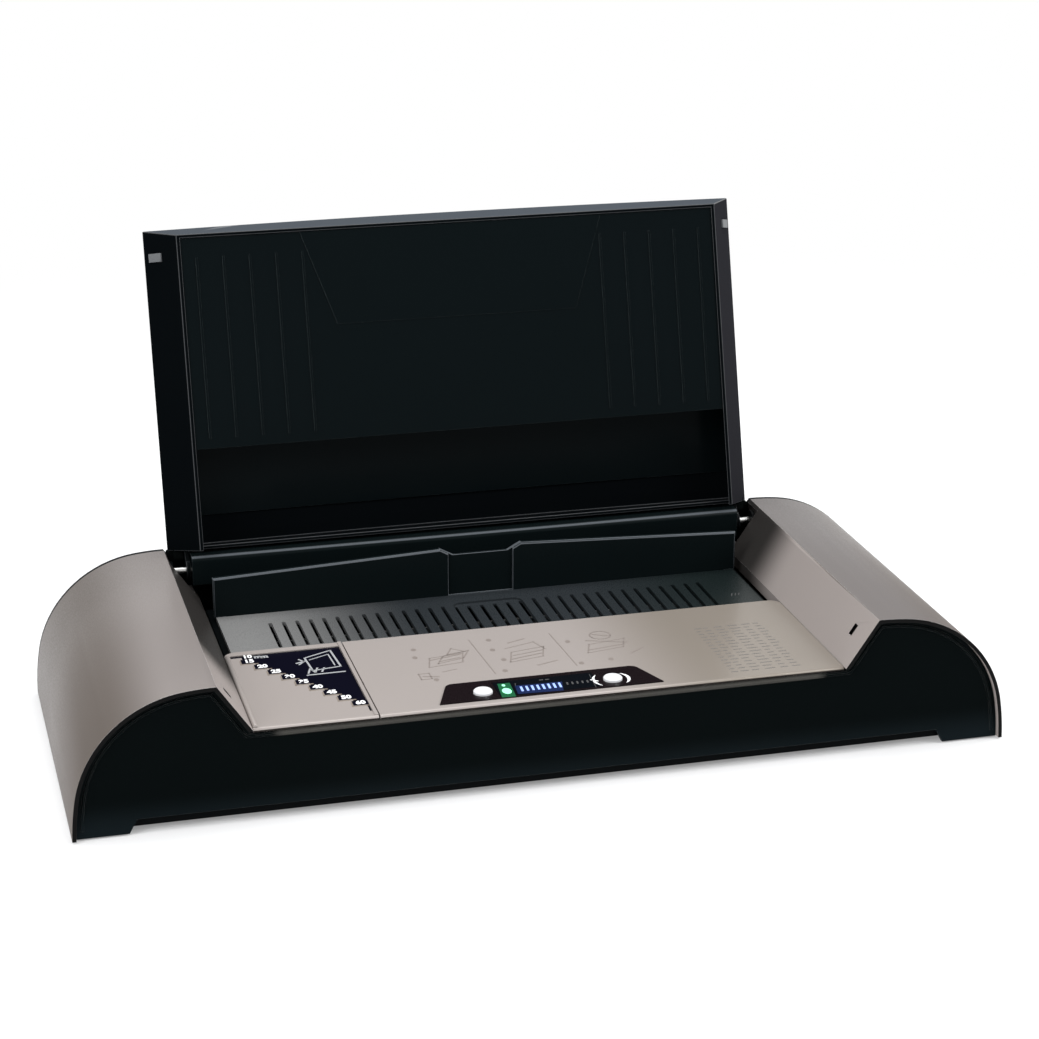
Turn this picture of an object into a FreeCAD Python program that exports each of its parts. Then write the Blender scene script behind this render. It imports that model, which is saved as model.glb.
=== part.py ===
import FreeCAD, Part

import math
import os

from FreeCAD import Vector

# Thermal binding machine with a hinged lid, in millimetres.
# X runs to the right, Y to the rear and Z up. The origin is on the table, under the middle of the body.
# The deck and all that stands square to it are drawn level and then tilted up to the rear with deck_tilt.

# Body
WIDTH = 530.0
SHELL_FRONT = -105.0
SHELL_REAR = 109.0
SHOULDER_WIDTH = 79.3
SLOPE_RUN = 18.6
CREST_Z = 83.3
DECK_Z = 56.0
DECK_TILT_DEG = 1.1
SHOULDER_BEND_SHARE = 0.8575
SHOULDER_LOW_TURN_DEG = 10.4
SHOULDER_HIGH_TURN_DEG = 6.5
SHELL_WALL = 2.2
SHELL_CLEAR = 1.0
SKIRT = 8.0
OVERRUN = 20.0
FIT = 0.3
PARALLEL_SHARE = 0.999

# Side shells
FOOT_DROP = 7.0
LEDGE_WIDTH = 4.0
LEDGE_THICK = 2.0
LEDGE_REAR = 0.0
PANEL_ROOM_RISE = 1.6
HINGE_NOTCH_INSET = 1.4
HINGE_NOTCH_GAP = 0.5
HINGE_NOTCH_RISE = 4.0
CATCH_INSET = 18.0
CATCH_HEIGHT = 15.6
CATCH_LENGTH = 7.0
CATCH_WIDTH = 4.0
RIB_Y = 60.0
RIB_THICK = 2.0
RIB_LOW = 18.0
RIB_HIGH = 48.0
BOSS_INSET = 26.0
BOSS_R = 4.0

# Base tray and feet
TRAY_LOW = 3.0
TRAY_THICK = 2.5
TRAY_RIM = 8.5
TRAY_WALL = 2.0
TRAY_SETBACK = 8.7
TRAY_SIDE_GAP = 0.6
TRAY_LEAN = 0.9
FOOT_R = 9.0
FOOT_INSET_X = 30.0
FOOT_INSET_FRONT = 25.0
FOOT_INSET_REAR = 19.0
SCREW_R = 3.4
SCREW_HEAD = 1.8
BAR_SIDES = 6

# Front panel
PANEL_GROOVE = 0.4
PANEL_RECESS = 3.2
PANEL_THICK = 3.0
PANEL_RIDGE = 1.7
PANEL_RIDGE_WIDTH = 2.2
PANEL_RIDGE_PROUD = 0.9
PANEL_RIDGE_BEVEL = 0.63
PANEL_RIDGE_RAISE = 1.2
PANEL_RIDGE_LOW = 7.0
PANEL_HEM_R = 2.6
PANEL_FOOT_INSET = 32.5
PANEL_FOOT_SHIFT = -2.5
PANEL_FOOT_SLANT = 4.5
PANEL_FOOT_R = 2.0
PANEL_ARCH_Z = 8.3
PANEL_CLEAR = 0.5
PANEL_TAB_LENGTH = 11.5
PANEL_TAB_WIDTH = 12.0
PANEL_TAB_THICK = 2.0
PANEL_TAB_SHARES = (-0.75, -0.3, 0.3, 0.75)

# Rear panel
REAR_THICK = 3.0
REAR_TOP_DROP = 2.6
REAR_GAP = 0.2
SLOT_BEVEL_SHARE = 0.3
VENT_COUNT = 14
VENT_PITCH = 9.0
VENT_WIDTH = 3.2
VENT_DROP = 6.0
VENT_LENGTH = 28.0
REAR_SCREW_SHARES = (-0.89, -0.57, 0.0, 0.49, 0.91)
REAR_SCREW_Z = 15.0

# Deck plates and thickness gauge
DECK_THICK = 2.0
DECK_SETBACK = 2.8
DECK_REAR = 5.6
DECK_EDGE_R = 1.5
DECK_CORNER_R = 7.0
DECK_SIDE_GAP = 0.3
GAUGE_CONTROL_GAP = 34.7
GAUGE_GROOVE = 0.9
GAUGE_RECESS = 1.0
GAUGE_LABEL_THICK = 0.4
GAUGE_LABEL_GAP = 0.2
GAUGE_STEPS = 11
GAUGE_STAIR_INSET = 3.1
GAUGE_LAST_STEP = 1.3
GAUGE_FIRST_INSET = 9.1
GAUGE_FRONT_MARGIN = 7.7
GAUGE_REAR_MARGIN = 5.2
GAUGE_BEAD_R = 1.4
GAUGE_RIB_WIDTH = 2.0
GAUGE_RIB_HIGH = 0.5
SUPPORT_SETBACK = 42.2
SUPPORT_DEPTH = 5.0
SUPPORT_HIGH = 8.0
SUPPORT_INSET = 7.1
SUPPORT_LEG_INSET = 50.0
SUPPORT_LEG_WIDTH = 8.0

# Control panel, buttons and their board
CONTROL_MIDDLE = -0.8
CONTROL_FRONT_INSET = 5.4
CONTROL_DEPTH = 25.6
CONTROL_HALF_FRONT = 63.4
CONTROL_HALF_REAR = 54.0
CONTROL_CORNER_R = 5.0
CONTROL_RISE = 0.6
CONTROL_GAP = 0.25
WINDOW_LEFT_REACH = 29.2
WINDOW_RIGHT_REACH = 27.8
WINDOW_FRONT_INSET = 1.5
WINDOW_REAR_INSET = 3.8
WINDOW_THICK = 1.2
BUTTON_REACH = 37.0
BUTTON_INSET = 9.8
BUTTON_R = 5.3
BUTTON_GAP = 0.3
BUTTON_RISE = 1.5
BUTTON_TRAVEL = 1.0
BUTTON_EDGE = 0.6
BUTTON_FLANGE_HALF = 6.4
BUTTON_FLANGE_THICK = 1.0
BUTTON_STEM_HALF = 1.8
SWITCH_SIZE = 6.0
SWITCH_HIGH = 4.4
BOARD_THICK = 1.6
BOARD_DROP = 10.4
BOARD_FRONT_INSET = 0.8
BOARD_REAR_OVER = 8.2
BOARD_SIDE_OVER = 2.6
SPACER_R = 2.8
SPACER_INSET = 4.5

# Sliding slot guard with its cooling shelf
SHELF_DROP = 3.2
SHELF_THICK = 2.5
SHELF_SIDE_GAP = 6.1
SHELF_UNDERLAP = 7.6
GUARD_FRONT = 69.7
GUARD_THICK = 3.5
GUARD_SIDE_GAP = 4.8
GUARD_END_DROP = 6.2
GUARD_MID_DROP = 0.5
GUARD_LEAF_GAP = 2.0
GUARD_LEAF_INSET = 5.5
GUARD_BEVEL = 0.8
NOTCH_TOP_HALF = 25.0
NOTCH_LOW_HALF = 17.0
NOTCH_DEPTH = 4.4
GRIP_HALF = 20.0
GRIP_DEPTH = 1.4
GUARD_TRAVEL = 40.0
SLIT_COUNT = 34
SLIT_END_MARGIN = 29.0
SLIT_WIDTH = 2.4
SLIT_FRONT_GAP = 8.4
SLIT_REAR_GAP = 16.7
FINGER_HALF = 21.0
FINGER_REAR_GAP = 12.7
FINGER_DEPTH = 1.2
FINGER_CORNER_R = 5.0
RAIL_UNDERLAP = 2.4
RAIL_WIDTH = 5.8
RAIL_SPARE = 4.0
RAIL_REAR_GAP = 1.4
RAIL_HIGH = 9.0
RAIL_LEG_DEPTH = 9.0
RAIL_LEG_INSET = 10.0

# Rear guard, which also covers the hinge line
REAR_GUARD_OVER = 3.9
REAR_GUARD_DEPTH = 17.1
REAR_GUARD_HIGH = 17.4
REAR_GUARD_WALL = 2.5
REAR_GUARD_END = 13.0
REAR_GUARD_EDGE = 3.2
REAR_GUARD_BACK_R = 5.0
REAR_SKIRT_INSET = 16.0
REAR_SKIRT_GAP = 10.0

# Heater
HEATER_DEPTH = 66.0
HEATER_REAR_OVER = 2.1
HEATER_END_INSET = 5.0
HEATER_THICK = 6.0
HEATER_RISE = 26.5
SHIELD_WALL = 1.2
SHIELD_GAP = 0.5
SHIELD_ABOVE = 14.0
SHIELD_UNDER = 10.0
SHIELD_LEG_WIDTH = 12.0
SHIELD_LEG_INSET = 14.0
ELEMENT_GAP = 2.5
ELEMENT_DEPTH = 12.0
ELEMENT_THICK = 4.0
ELEMENT_SPREAD = 30.0
BLOCK_SIZE = 9.0
BLOCK_INSET = 9.0
THERMOSTAT_R = 8.0
THERMOSTAT_THICK = 5.0
THERMOSTAT_X = 30.0
FUSE_R = 2.0
FUSE_LENGTH = 14.0
FUSE_X = -30.0

# Lid, drawn closed and level
LID_SIDE_GAP = 2.55
LID_REAR_GAP = 4.3
LID_SETBACK = 1.8
LID_DEPTH = 24.5
LID_CROWN = 11.0
LID_EDGE_SHARE = 0.3
LID_WALL = 2.2
LID_FRONT_SLANT = 4.0
LID_END_LIP = 3.0
LID_END_DROP = 13.3
LID_OPEN_DEG = 105.4
HINGE_BACK = 11.6
HINGE_DOWN = 10.0
PIN_R = 2.0
PIN_CLEAR = 0.05
PIN_INSIDE = 11.0
ARM_GAP = 0.6
ARM_THICK = 2.4
ARM_R = 5.5
ARM_TOP_DROP = 4.5
ARM_LOW_DROP = 8.5
ARM_REACH = 12.0
LUG_FRONT = 12.0
LUG_REAR = 3.0
PANEL_LIFT = 1.0
INNER_THICK = 1.8
INNER_GAP = 0.3
POCKET_NEAR = 19.6
POCKET_FAR = 62.0
LINER_THICK = 1.4
LINER_DROP = 13.3
LID_RIB_COUNT = 5
LID_RIB_MARGIN = 11.3
LID_RIB_PITCH = 15.8
LID_RIB_WIDTH = 1.3
LID_RIB_HIGH = 0.5
LID_RIB_START = 12.0
LID_RIB_END = 4.0
FIELD_FRONT_INSET = 73.5
FIELD_REAR_INSET = 92.5
FIELD_LENGTH = 56.0
FIELD_RAISE = 0.4
LATCH_NEAR = 4.0
LATCH_LENGTH = 11.0
LATCH_WIDTH = 5.0
LATCH_PROUD = 1.1
LATCH_ROUND = 0.66

# Hinge brackets
BRACKET_INSET = 3.8
BRACKET_THICK = 2.2
BRACKET_R = 6.0
BRACKET_FOOT = 14.0
BRACKET_FOOT_THICK = 2.0

# Power side: inlet, switch and board
INLET_APART = 47.0
INLET_Z = 34.0
INLET_WIDTH = 27.4
INLET_HIGH = 19.8
INLET_DEPTH = 19.0
INLET_WALL = 1.5
INLET_FLOOR = 3.0
INLET_CORNER = 5.0
BEZEL = 1.8
BEZEL_THICK = 1.6
BLADE_WIDTH = 2.0
BLADE_HIGH = 4.0
BLADE_LENGTH = 11.0
BLADE_X = 7.0
BLADE_LOW = 2.0
BLADE_EARTH = 2.4
ROCKER_APART = 16.9
ROCKER_Z = 34.0
ROCKER_WIDTH = 10.0
ROCKER_HIGH = 18.0
ROCKER_THICK = 6.0
ROCKER_DIP = 1.2
ROCKER_REST_DEG = 8.0
ROCKER_GAP = 0.4
ROCKER_ROOM = 3.4
ROCKER_BOX_WALL = 1.6
ROCKER_BOX_DEPTH = 17.0
ROCKER_PIN_R = 1.0
ROCKER_PIN_LENGTH = 0.9
POWER_BOARD_INSET = 39.0
POWER_BOARD_WIDTH = 52.0
POWER_BOARD_HALF_Y = 45.0
POWER_POST_HIGH = 6.0
POWER_POST_R = 3.0
POWER_POST_INSET = 5.0
CORE_WIDTH = 34.0
CORE_DEPTH = 12.0
CORE_HIGH = 28.0
COIL_WIDTH = 22.0
COIL_DEPTH = 26.0
COIL_HIGH = 20.0
RELAY_WIDTH = 16.0
RELAY_DEPTH = 20.0
RELAY_HIGH = 15.0
PART_SHIFT = 22.0

SIDES = (("left", -1), ("right", 1))

# Places across the width that follow from the ones above
half_width = WIDTH / 2
crest_x = half_width - SHOULDER_WIDTH
deck_x = crest_x - SLOPE_RUN
slope = SLOPE_RUN / (CREST_Z - DECK_Z)
slope_stretch = math.hypot(1, slope)
gauge_left = -deck_x + DECK_SIDE_GAP
gauge_right = CONTROL_MIDDLE - CONTROL_HALF_FRONT - GAUGE_CONTROL_GAP
shelf_half = deck_x - SHELF_SIDE_GAP
guard_half = deck_x - GUARD_SIDE_GAP
rail_inner = shelf_half - RAIL_UNDERLAP
rail_outer = rail_inner + RAIL_WIDTH
heater_half = shelf_half - HEATER_END_INSET
rear_guard_half = deck_x + REAR_GUARD_OVER
lid_half = crest_x - LID_SIDE_GAP
lid_rim_half = lid_half - LID_DEPTH * slope
arm_in = rear_guard_half + ARM_GAP
bracket_x = crest_x - BRACKET_INSET
rocker_x = bracket_x - ROCKER_APART
inlet_x = rocker_x + INLET_APART
power_left = -half_width + POWER_BOARD_INSET
power_right = power_left + POWER_BOARD_WIDTH
button_xs = (CONTROL_MIDDLE - BUTTON_REACH, CONTROL_MIDDLE + BUTTON_REACH)

# Places from front to rear
panel_face = SHELL_FRONT + PANEL_RECESS
tray_front = SHELL_FRONT + TRAY_SETBACK
deck_front = SHELL_FRONT + DECK_SETBACK
control_front = deck_front + CONTROL_FRONT_INSET
control_rear = control_front + CONTROL_DEPTH
button_y = control_front + BUTTON_INSET
board_rear = control_rear + BOARD_REAR_OVER
support_y = deck_front + SUPPORT_SETBACK
catch_y = SHELL_FRONT + CATCH_INSET
shelf_front = DECK_REAR - SHELF_UNDERLAP
rear_guard_front = SHELL_REAR - REAR_GUARD_DEPTH
rail_front = shelf_front - GUARD_TRAVEL - RAIL_SPARE
rail_rear = rear_guard_front - RAIL_REAR_GAP
heater_rear = rear_guard_front + HEATER_REAR_OVER
heater_front = heater_rear - HEATER_DEPTH
heater_middle = (heater_front + heater_rear) / 2
lid_rear = rear_guard_front - LID_REAR_GAP
lid_front = SHELL_FRONT + LID_SETBACK
hinge_y = lid_rear + HINGE_BACK
rear_face = SHELL_REAR + REAR_GAP + REAR_THICK

# Heights
tray_top = TRAY_LOW + TRAY_THICK
deck_low = DECK_Z - DECK_THICK
shelf_top = DECK_Z - SHELF_DROP
shelf_low = shelf_top - SHELF_THICK
board_top = DECK_Z - BOARD_DROP
heater_top = tray_top + HEATER_RISE
heater_low = heater_top - HEATER_THICK
shield_low = heater_low - SHIELD_UNDER
shield_top = heater_top + SHIELD_ABOVE
guard_end_z = CREST_Z - GUARD_END_DROP
guard_mid_z = CREST_Z - GUARD_MID_DROP
rear_top = CREST_Z - REAR_TOP_DROP
hinge_z = CREST_Z - HINGE_DOWN
rim_z = CREST_Z - LID_DEPTH
power_base = tray_top + POWER_POST_HIGH


def box(x0, x1, y0, y1, z0, z1):
    """A box between two corners."""
    return Part.makeBox(x1 - x0, y1 - y0, z1 - z0, Vector(x0, y0, z0))


def rod(radius, start, end):
    """A round bar between two points."""
    way = end - start
    return Part.makeCylinder(radius, way.Length, start, way)


def six_sided(radius, start, end):
    """A six-sided bar between two points that stand square to X."""
    way = end - start
    first = Vector(radius, 0, 0)
    second = way.cross(first) * (1 / way.Length)
    turns = [2 * math.pi * side / BAR_SIDES for side in range(BAR_SIDES)]
    corners = [start + first * math.cos(turn) + second * math.sin(turn) for turn in turns]
    return Part.Face(Part.makePolygon(corners + corners[:1])).extrude(way)


def prism(points, axis, low, high):
    """A polygon given in the two other axes, drawn out along one axis from low to high."""
    place = {"x": lambda a, b: Vector(low, a, b),
             "y": lambda a, b: Vector(a, low, b),
             "z": lambda a, b: Vector(a, b, low)}[axis]
    way = {"x": Vector(1, 0, 0), "y": Vector(0, 1, 0), "z": Vector(0, 0, 1)}[axis]
    corners = [place(a, b) for a, b in points]
    return Part.Face(Part.makePolygon(corners + corners[:1])).extrude(way * (high - low))


def join(first, *others):
    """One solid from several that touch or overlap."""
    return first.fuse(list(others)).removeSplitter()


def less(first, *others):
    """A shape with others cut from it."""
    return first.cut(list(others))


def mirrored(shape, side):
    """The shape for the right side, or its mirror image for the left side."""
    if side > 0:
        return shape
    return shape.mirror(Vector(0, 0, 0), Vector(1, 0, 0))


def round_edges(shape, radius, wanted):
    """Rounds the edges that the test picks."""
    return shape.makeFillet(radius, [edge for edge in shape.Edges if wanted(edge)])


def along(edge, way):
    """True for a straight edge that runs along the given unit vector."""
    if not isinstance(edge.Curve, (Part.Line, Part.LineSegment)):
        return False
    return abs(edge.tangentAt(edge.FirstParameter).dot(way)) > PARALLEL_SHARE


def deck_tilt(shape):
    """Tilts a level shape up to the rear, about the line across the middle of the deck."""
    return shape.rotate(Vector(0, 0, DECK_Z), Vector(1, 0, 0), DECK_TILT_DEG)


def over(shape, level):
    """What lies above a level of the room."""
    size = WIDTH + OVERRUN
    return less(shape, Part.makeBox(size, size, size, Vector(-size / 2, -size / 2, level - size)))


def lid_place(shape):
    """Turns a shape of the closed, level lid to its open rest, and tilts it with the deck."""
    opened = shape.rotate(Vector(0, hinge_y, hinge_z), Vector(1, 0, 0), -LID_OPEN_DEG)
    return deck_tilt(opened)


def line(x0, z0, x1, z1):
    """A straight edge in the XZ plane."""
    return Part.makeLine(Vector(x0, 0, z0), Vector(x1, 0, z1))


def arc(x, z, radius, start, end, side):
    """An arc in the XZ plane round a centre, between two angles from the side's direction."""
    points = [Vector(x + side * radius * math.cos(turn), 0, z + radius * math.sin(turn))
              for turn in (start, (start + end) / 2, end)]
    return Part.Arc(*points).toShape()


def shoulder_edges(inset, side):
    """The shoulder from its foot to its crest, set inwards: three arcs that run on smoothly."""
    low = math.radians(SHOULDER_LOW_TURN_DEG)
    high = math.pi / 2 - math.radians(SHOULDER_HIGH_TURN_DEG)
    bend_r = SHOULDER_WIDTH * SHOULDER_BEND_SHARE
    # The foot's and the crest's radii close the curve round the bend between them.
    across = SHOULDER_WIDTH - bend_r * (math.cos(low) - math.cos(high))
    up = CREST_Z - bend_r * (math.sin(high) - math.sin(low))
    spread = (1 - math.cos(low)) * (1 - math.sin(high)) - math.sin(low) * math.cos(high)
    foot_r = (across * (1 - math.sin(high)) - up * math.cos(high)) / spread
    crest_r = (up * (1 - math.cos(low)) - across * math.sin(low)) / spread
    foot_x = half_width - foot_r
    bend_x = foot_x + (foot_r - bend_r) * math.cos(low)
    bend_z = (foot_r - bend_r) * math.sin(low)
    end = math.acos(inset * (slope_stretch - slope) / (crest_r - inset))
    return [arc(side * foot_x, 0, foot_r - inset, 0, low, side),
            arc(side * bend_x, bend_z, bend_r - inset, low, high, side),
            arc(side * crest_x, CREST_Z - crest_r, crest_r - inset, high, end, side)]


def slope_x(z, inset=0):
    """How far out the inner slope lies at a height."""
    return deck_x + inset * slope_stretch + (z - DECK_Z) * slope


def end_outline(inset, deck_raise=0):
    """The body's outline seen from the front, set inwards: shoulder, slope, deck, slope, shoulder."""
    deck = DECK_Z - inset + deck_raise
    foot = slope_x(deck, inset)
    right, left = shoulder_edges(inset, 1), shoulder_edges(inset, -1)
    crest = right[-1].valueAt(right[-1].LastParameter)
    out = half_width - inset
    edges = [line(out, -SKIRT, out, 0), *right, line(crest.x, crest.z, foot, deck),
             line(foot, deck, -foot, deck), line(-foot, deck, -crest.x, crest.z),
             *left, line(-out, 0, -out, -SKIRT), line(-out, -SKIRT, out, -SKIRT)]
    return Part.Wire(Part.__sortEdges__(edges))


def end_slab(inset, front, rear, deck_raise=0, corner=0):
    """The body's outline as a slab between two depths, with the corners at the deck rounded where asked."""
    slab = Part.Face(end_outline(inset, deck_raise)).extrude(Vector(0, rear - front, 0))
    slab.translate(Vector(0, front, 0))
    if corner <= 0:
        return slab
    return round_edges(slab, corner, lambda edge: along(edge, Vector(0, 1, 0))
                       and abs(edge.BoundBox.ZMax - DECK_Z + inset - deck_raise) < FIT)


def shell_section():
    """The right shell's wall: shoulder, crest, inner slope and the drop beside the deck."""
    low = DECK_Z - FOOT_DROP
    inner_foot = deck_x + SHELL_WALL
    inner_foot_z = DECK_Z + (inner_foot - slope_x(DECK_Z, SHELL_WALL)) / slope
    outside, inside = shoulder_edges(0, 1), shoulder_edges(SHELL_WALL, 1)
    crest = inside[-1].valueAt(inside[-1].LastParameter)
    out = half_width
    edges = [line(out, -SKIRT, out, 0), *outside, line(crest_x, CREST_Z, deck_x, DECK_Z),
             line(deck_x, DECK_Z, deck_x, low), line(deck_x, low, inner_foot, low),
             line(inner_foot, low, inner_foot, inner_foot_z),
             line(inner_foot, inner_foot_z, crest.x, crest.z), *inside,
             line(out - SHELL_WALL, 0, out - SHELL_WALL, -SKIRT),
             line(out - SHELL_WALL, -SKIRT, out, -SKIRT)]
    return Part.Face(Part.Wire(Part.__sortEdges__(edges)))


def ledge_front():
    """Where the deck's ledges start, behind the front panel."""
    return panel_face + PANEL_THICK + FIT


def side_shell(side):
    """One bent side shell with its catch slot, hinge notch, deck ledge and screw ribs."""
    shell = shell_section().extrude(Vector(0, SHELL_REAR - SHELL_FRONT, 0))
    shell.translate(Vector(0, SHELL_FRONT, 0))
    hinge_notch = box(deck_x - OVERRUN, crest_x - HINGE_NOTCH_INSET, rear_guard_front + HINGE_NOTCH_GAP,
                      SHELL_REAR + OVERRUN, DECK_Z + HINGE_NOTCH_RISE, CREST_Z + OVERRUN)
    panel_room = box(deck_x - OVERRUN, deck_x + SHELL_WALL + FIT, SHELL_FRONT - OVERRUN,
                     ledge_front(), DECK_Z - OVERRUN, deck_low + PANEL_ROOM_RISE)
    catch = Part.makeBox(OVERRUN, CATCH_WIDTH, CATCH_LENGTH,
                         Vector(-OVERRUN / 2, -CATCH_WIDTH / 2, -CATCH_LENGTH / 2))
    catch.rotate(Vector(0, 0, 0), Vector(0, 1, 0), math.degrees(math.atan(slope)))
    catch.translate(Vector(slope_x(DECK_Z + CATCH_HEIGHT), catch_y, DECK_Z + CATCH_HEIGHT))
    ledge = box(deck_x - LEDGE_WIDTH, deck_x + SHELL_WALL / 2, ledge_front(), LEDGE_REAR,
                deck_low - LEDGE_THICK, deck_low)
    wall = join(less(shell, hinge_notch, panel_room, catch), ledge)
    wall = over(deck_tilt(wall), SHELL_CLEAR)
    boss_x = half_width - BOSS_INSET
    inner = Part.Face(end_outline(SHELL_WALL / 2)).extrude(Vector(0, RIB_THICK, 0))
    ribs = []
    for y in (-RIB_Y, RIB_Y):
        slab = inner.copy()
        slab.translate(Vector(0, y - RIB_THICK / 2, 0))
        plate = slab.common(box(boss_x, half_width, y - RIB_THICK, y + RIB_THICK, RIB_LOW, RIB_HIGH))
        boss = rod(BOSS_R, Vector(boss_x, y, -SKIRT), Vector(boss_x, y, RIB_HIGH))
        ribs.append(over(deck_tilt(join(plate, boss)), tray_top))
    return mirrored(join(wall, *ribs), side)


def base_tray():
    """The bottom tray with a rim all round."""
    half = half_width - SHELL_WALL - TRAY_SIDE_GAP
    rear = SHELL_REAR
    floor = box(-half, half, tray_front, rear, TRAY_LOW, tray_top)
    rim = less(box(-half, half, tray_front, rear, tray_top, tray_top + TRAY_RIM),
               box(-half + TRAY_WALL, half - TRAY_WALL, tray_front + TRAY_WALL, rear - TRAY_WALL,
                   tray_top, tray_top + TRAY_RIM))
    # The rim leans in at its top, clear of the shells' curve.
    lean = prism([(half - FIT, tray_top), (half + FIT, tray_top), (half + FIT, tray_top + TRAY_RIM),
                  (half - TRAY_LEAN, tray_top + TRAY_RIM)], "y", tray_front, rear)
    return less(join(floor, rim), lean, mirrored(lean, -1))


def foot_places():
    """The five feet, by name. The middle one stands on the origin."""
    x = half_width - FOOT_INSET_X
    front = SHELL_FRONT + FOOT_INSET_FRONT
    rear = SHELL_REAR - FOOT_INSET_REAR
    return {"front_left": (-x, front), "front_right": (x, front),
            "rear_left": (-x, rear), "rear_right": (x, rear), "middle": (0, 0)}


def rubber_foot(x, y):
    """A round foot."""
    return rod(FOOT_R, Vector(x, y, 0), Vector(x, y, TRAY_LOW))


def base_screws():
    """The six-sided screw heads under the tray."""
    places = [(side * (half_width - BOSS_INSET), y) for side in (-1, 1) for y in (-RIB_Y, RIB_Y)]
    return Part.makeCompound([six_sided(SCREW_R, Vector(x, y, TRAY_LOW), Vector(x, y, TRAY_LOW - SCREW_HEAD))
                              for x, y in places])


def panel_ridge(inset, front, rear):
    """The front panel's ridge line as a slab: the body's outline set inwards, higher under the deck."""
    corner = PANEL_RIDGE_WIDTH + PANEL_RIDGE
    return end_slab(inset, front, rear, PANEL_RIDGE_RAISE, corner)


def hem_cut(left, right, face, low):
    """What is cut from the panel's lower edge to round it between two places."""
    corner = box(left, right, face - OVERRUN, face + PANEL_HEM_R, low - OVERRUN, low + PANEL_HEM_R)
    middle = rod(PANEL_HEM_R, Vector(left - OVERRUN, face + PANEL_HEM_R, low + PANEL_HEM_R),
                 Vector(right + OVERRUN, face + PANEL_HEM_R, low + PANEL_HEM_R))
    return less(corner, middle)


def front_panel():
    """The front panel, set back between the shells, with a ridge all round, a hemmed foot line and tabs."""
    inset = SHELL_WALL + PANEL_GROOVE
    face = panel_face
    back = face + PANEL_THICK
    top = face - PANEL_RIDGE_PROUD
    outer = inset + PANEL_RIDGE
    ridge = less(panel_ridge(outer, top, face), panel_ridge(outer + PANEL_RIDGE_WIDTH, top, face))
    ridge = over(ridge, PANEL_RIDGE_LOW)
    crown = [edge for edge in ridge.Edges if edge.BoundBox.YMax < top + FIT]
    ridge = ridge.makeChamfer(PANEL_RIDGE_BEVEL, crown)
    panel = deck_tilt(join(end_slab(inset, face, back), ridge))
    tab_z = tray_top + TRAY_RIM
    tab_half = PANEL_TAB_WIDTH / 2
    tabs = [box(half_width * share - tab_half, half_width * share + tab_half, back - PANEL_THICK / 2,
                face + PANEL_TAB_LENGTH, tab_z, tab_z + PANEL_TAB_THICK) for share in PANEL_TAB_SHARES]
    reach = half_width - PANEL_FOOT_INSET
    left, right = PANEL_FOOT_SHIFT - reach, PANEL_FOOT_SHIFT + reach
    arch_left, arch_right = left + PANEL_FOOT_SLANT, right - PANEL_FOOT_SLANT
    arch = prism([(left, 0), (arch_left, PANEL_ARCH_Z), (arch_right, PANEL_ARCH_Z),
                  (right, 0), (right, -OVERRUN), (left, -OVERRUN)], "y", face - OVERRUN, back + OVERRUN)
    arch = round_edges(arch, PANEL_FOOT_R,
                       lambda edge: along(edge, Vector(0, 1, 0)) and edge.BoundBox.ZMin > PANEL_ARCH_Z / 2)
    panel = over(less(join(panel, *tabs), arch), PANEL_CLEAR)
    hems = [hem_cut(-WIDTH, arch_left, face, PANEL_CLEAR),
            hem_cut(arch_left, arch_right, face, PANEL_ARCH_Z),
            hem_cut(arch_right, WIDTH, face, PANEL_CLEAR)]
    return less(panel, *hems)


def slot_points(middle, width, low, high):
    """A slot's outline between two ends, with its corners bevelled."""
    left, right = middle - width / 2, middle + width / 2
    bevel = width * SLOT_BEVEL_SHARE
    return [(left, low + bevel), (left + bevel, low), (right - bevel, low), (right, low + bevel),
            (right, high - bevel), (right - bevel, high), (left + bevel, high), (left, high - bevel)]


def rear_panel():
    """The rear panel with its vent slots and the cut-outs for the inlet and the switch."""
    front = SHELL_REAR + REAR_GAP
    top_half = slope_x(rear_top)
    slab = join(end_slab(0, front, rear_face),
                box(-top_half, top_half, front, rear_face, DECK_Z - OVERRUN, rear_top))
    reach = (front - OVERRUN, rear_face + OVERRUN)
    first = -VENT_PITCH * (VENT_COUNT - 1) / 2
    high = DECK_Z - VENT_DROP
    vents = [prism(slot_points(first + index * VENT_PITCH, VENT_WIDTH, high - VENT_LENGTH, high), "y", *reach)
             for index in range(VENT_COUNT)]
    inlet = box(inlet_x - INLET_WIDTH / 2 - FIT, inlet_x + INLET_WIDTH / 2 + FIT, *reach,
                INLET_Z - INLET_HIGH / 2 - FIT, INLET_Z + INLET_HIGH / 2 + FIT)
    half_x, half_z = switch_halves()
    switch = box(rocker_x - half_x - FIT, rocker_x + half_x + FIT, *reach,
                 ROCKER_Z - half_z - FIT, ROCKER_Z + half_z + FIT)
    return over(deck_tilt(less(slab, *vents, inlet, switch)), SHELL_CLEAR)


def plate_outline(left, right, corner_left, corner_right):
    """A deck plate from above, with a rolled front edge and its rear corners rounded where asked."""
    plate = box(left, right, deck_front, DECK_REAR, deck_low, DECK_Z)
    wanted = [edge for edge in plate.Edges if along(edge, Vector(0, 0, 1)) and edge.BoundBox.YMin > 0
              and ((corner_left and edge.BoundBox.XMax < (left + right) / 2)
                   or (corner_right and edge.BoundBox.XMin > (left + right) / 2))]
    plate = plate.makeFillet(DECK_CORNER_R, wanted)
    return round_edges(plate, DECK_EDGE_R, lambda edge: along(edge, Vector(1, 0, 0))
                       and edge.BoundBox.ZMin > deck_low + FIT and edge.BoundBox.YMax < deck_front + FIT)


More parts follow.
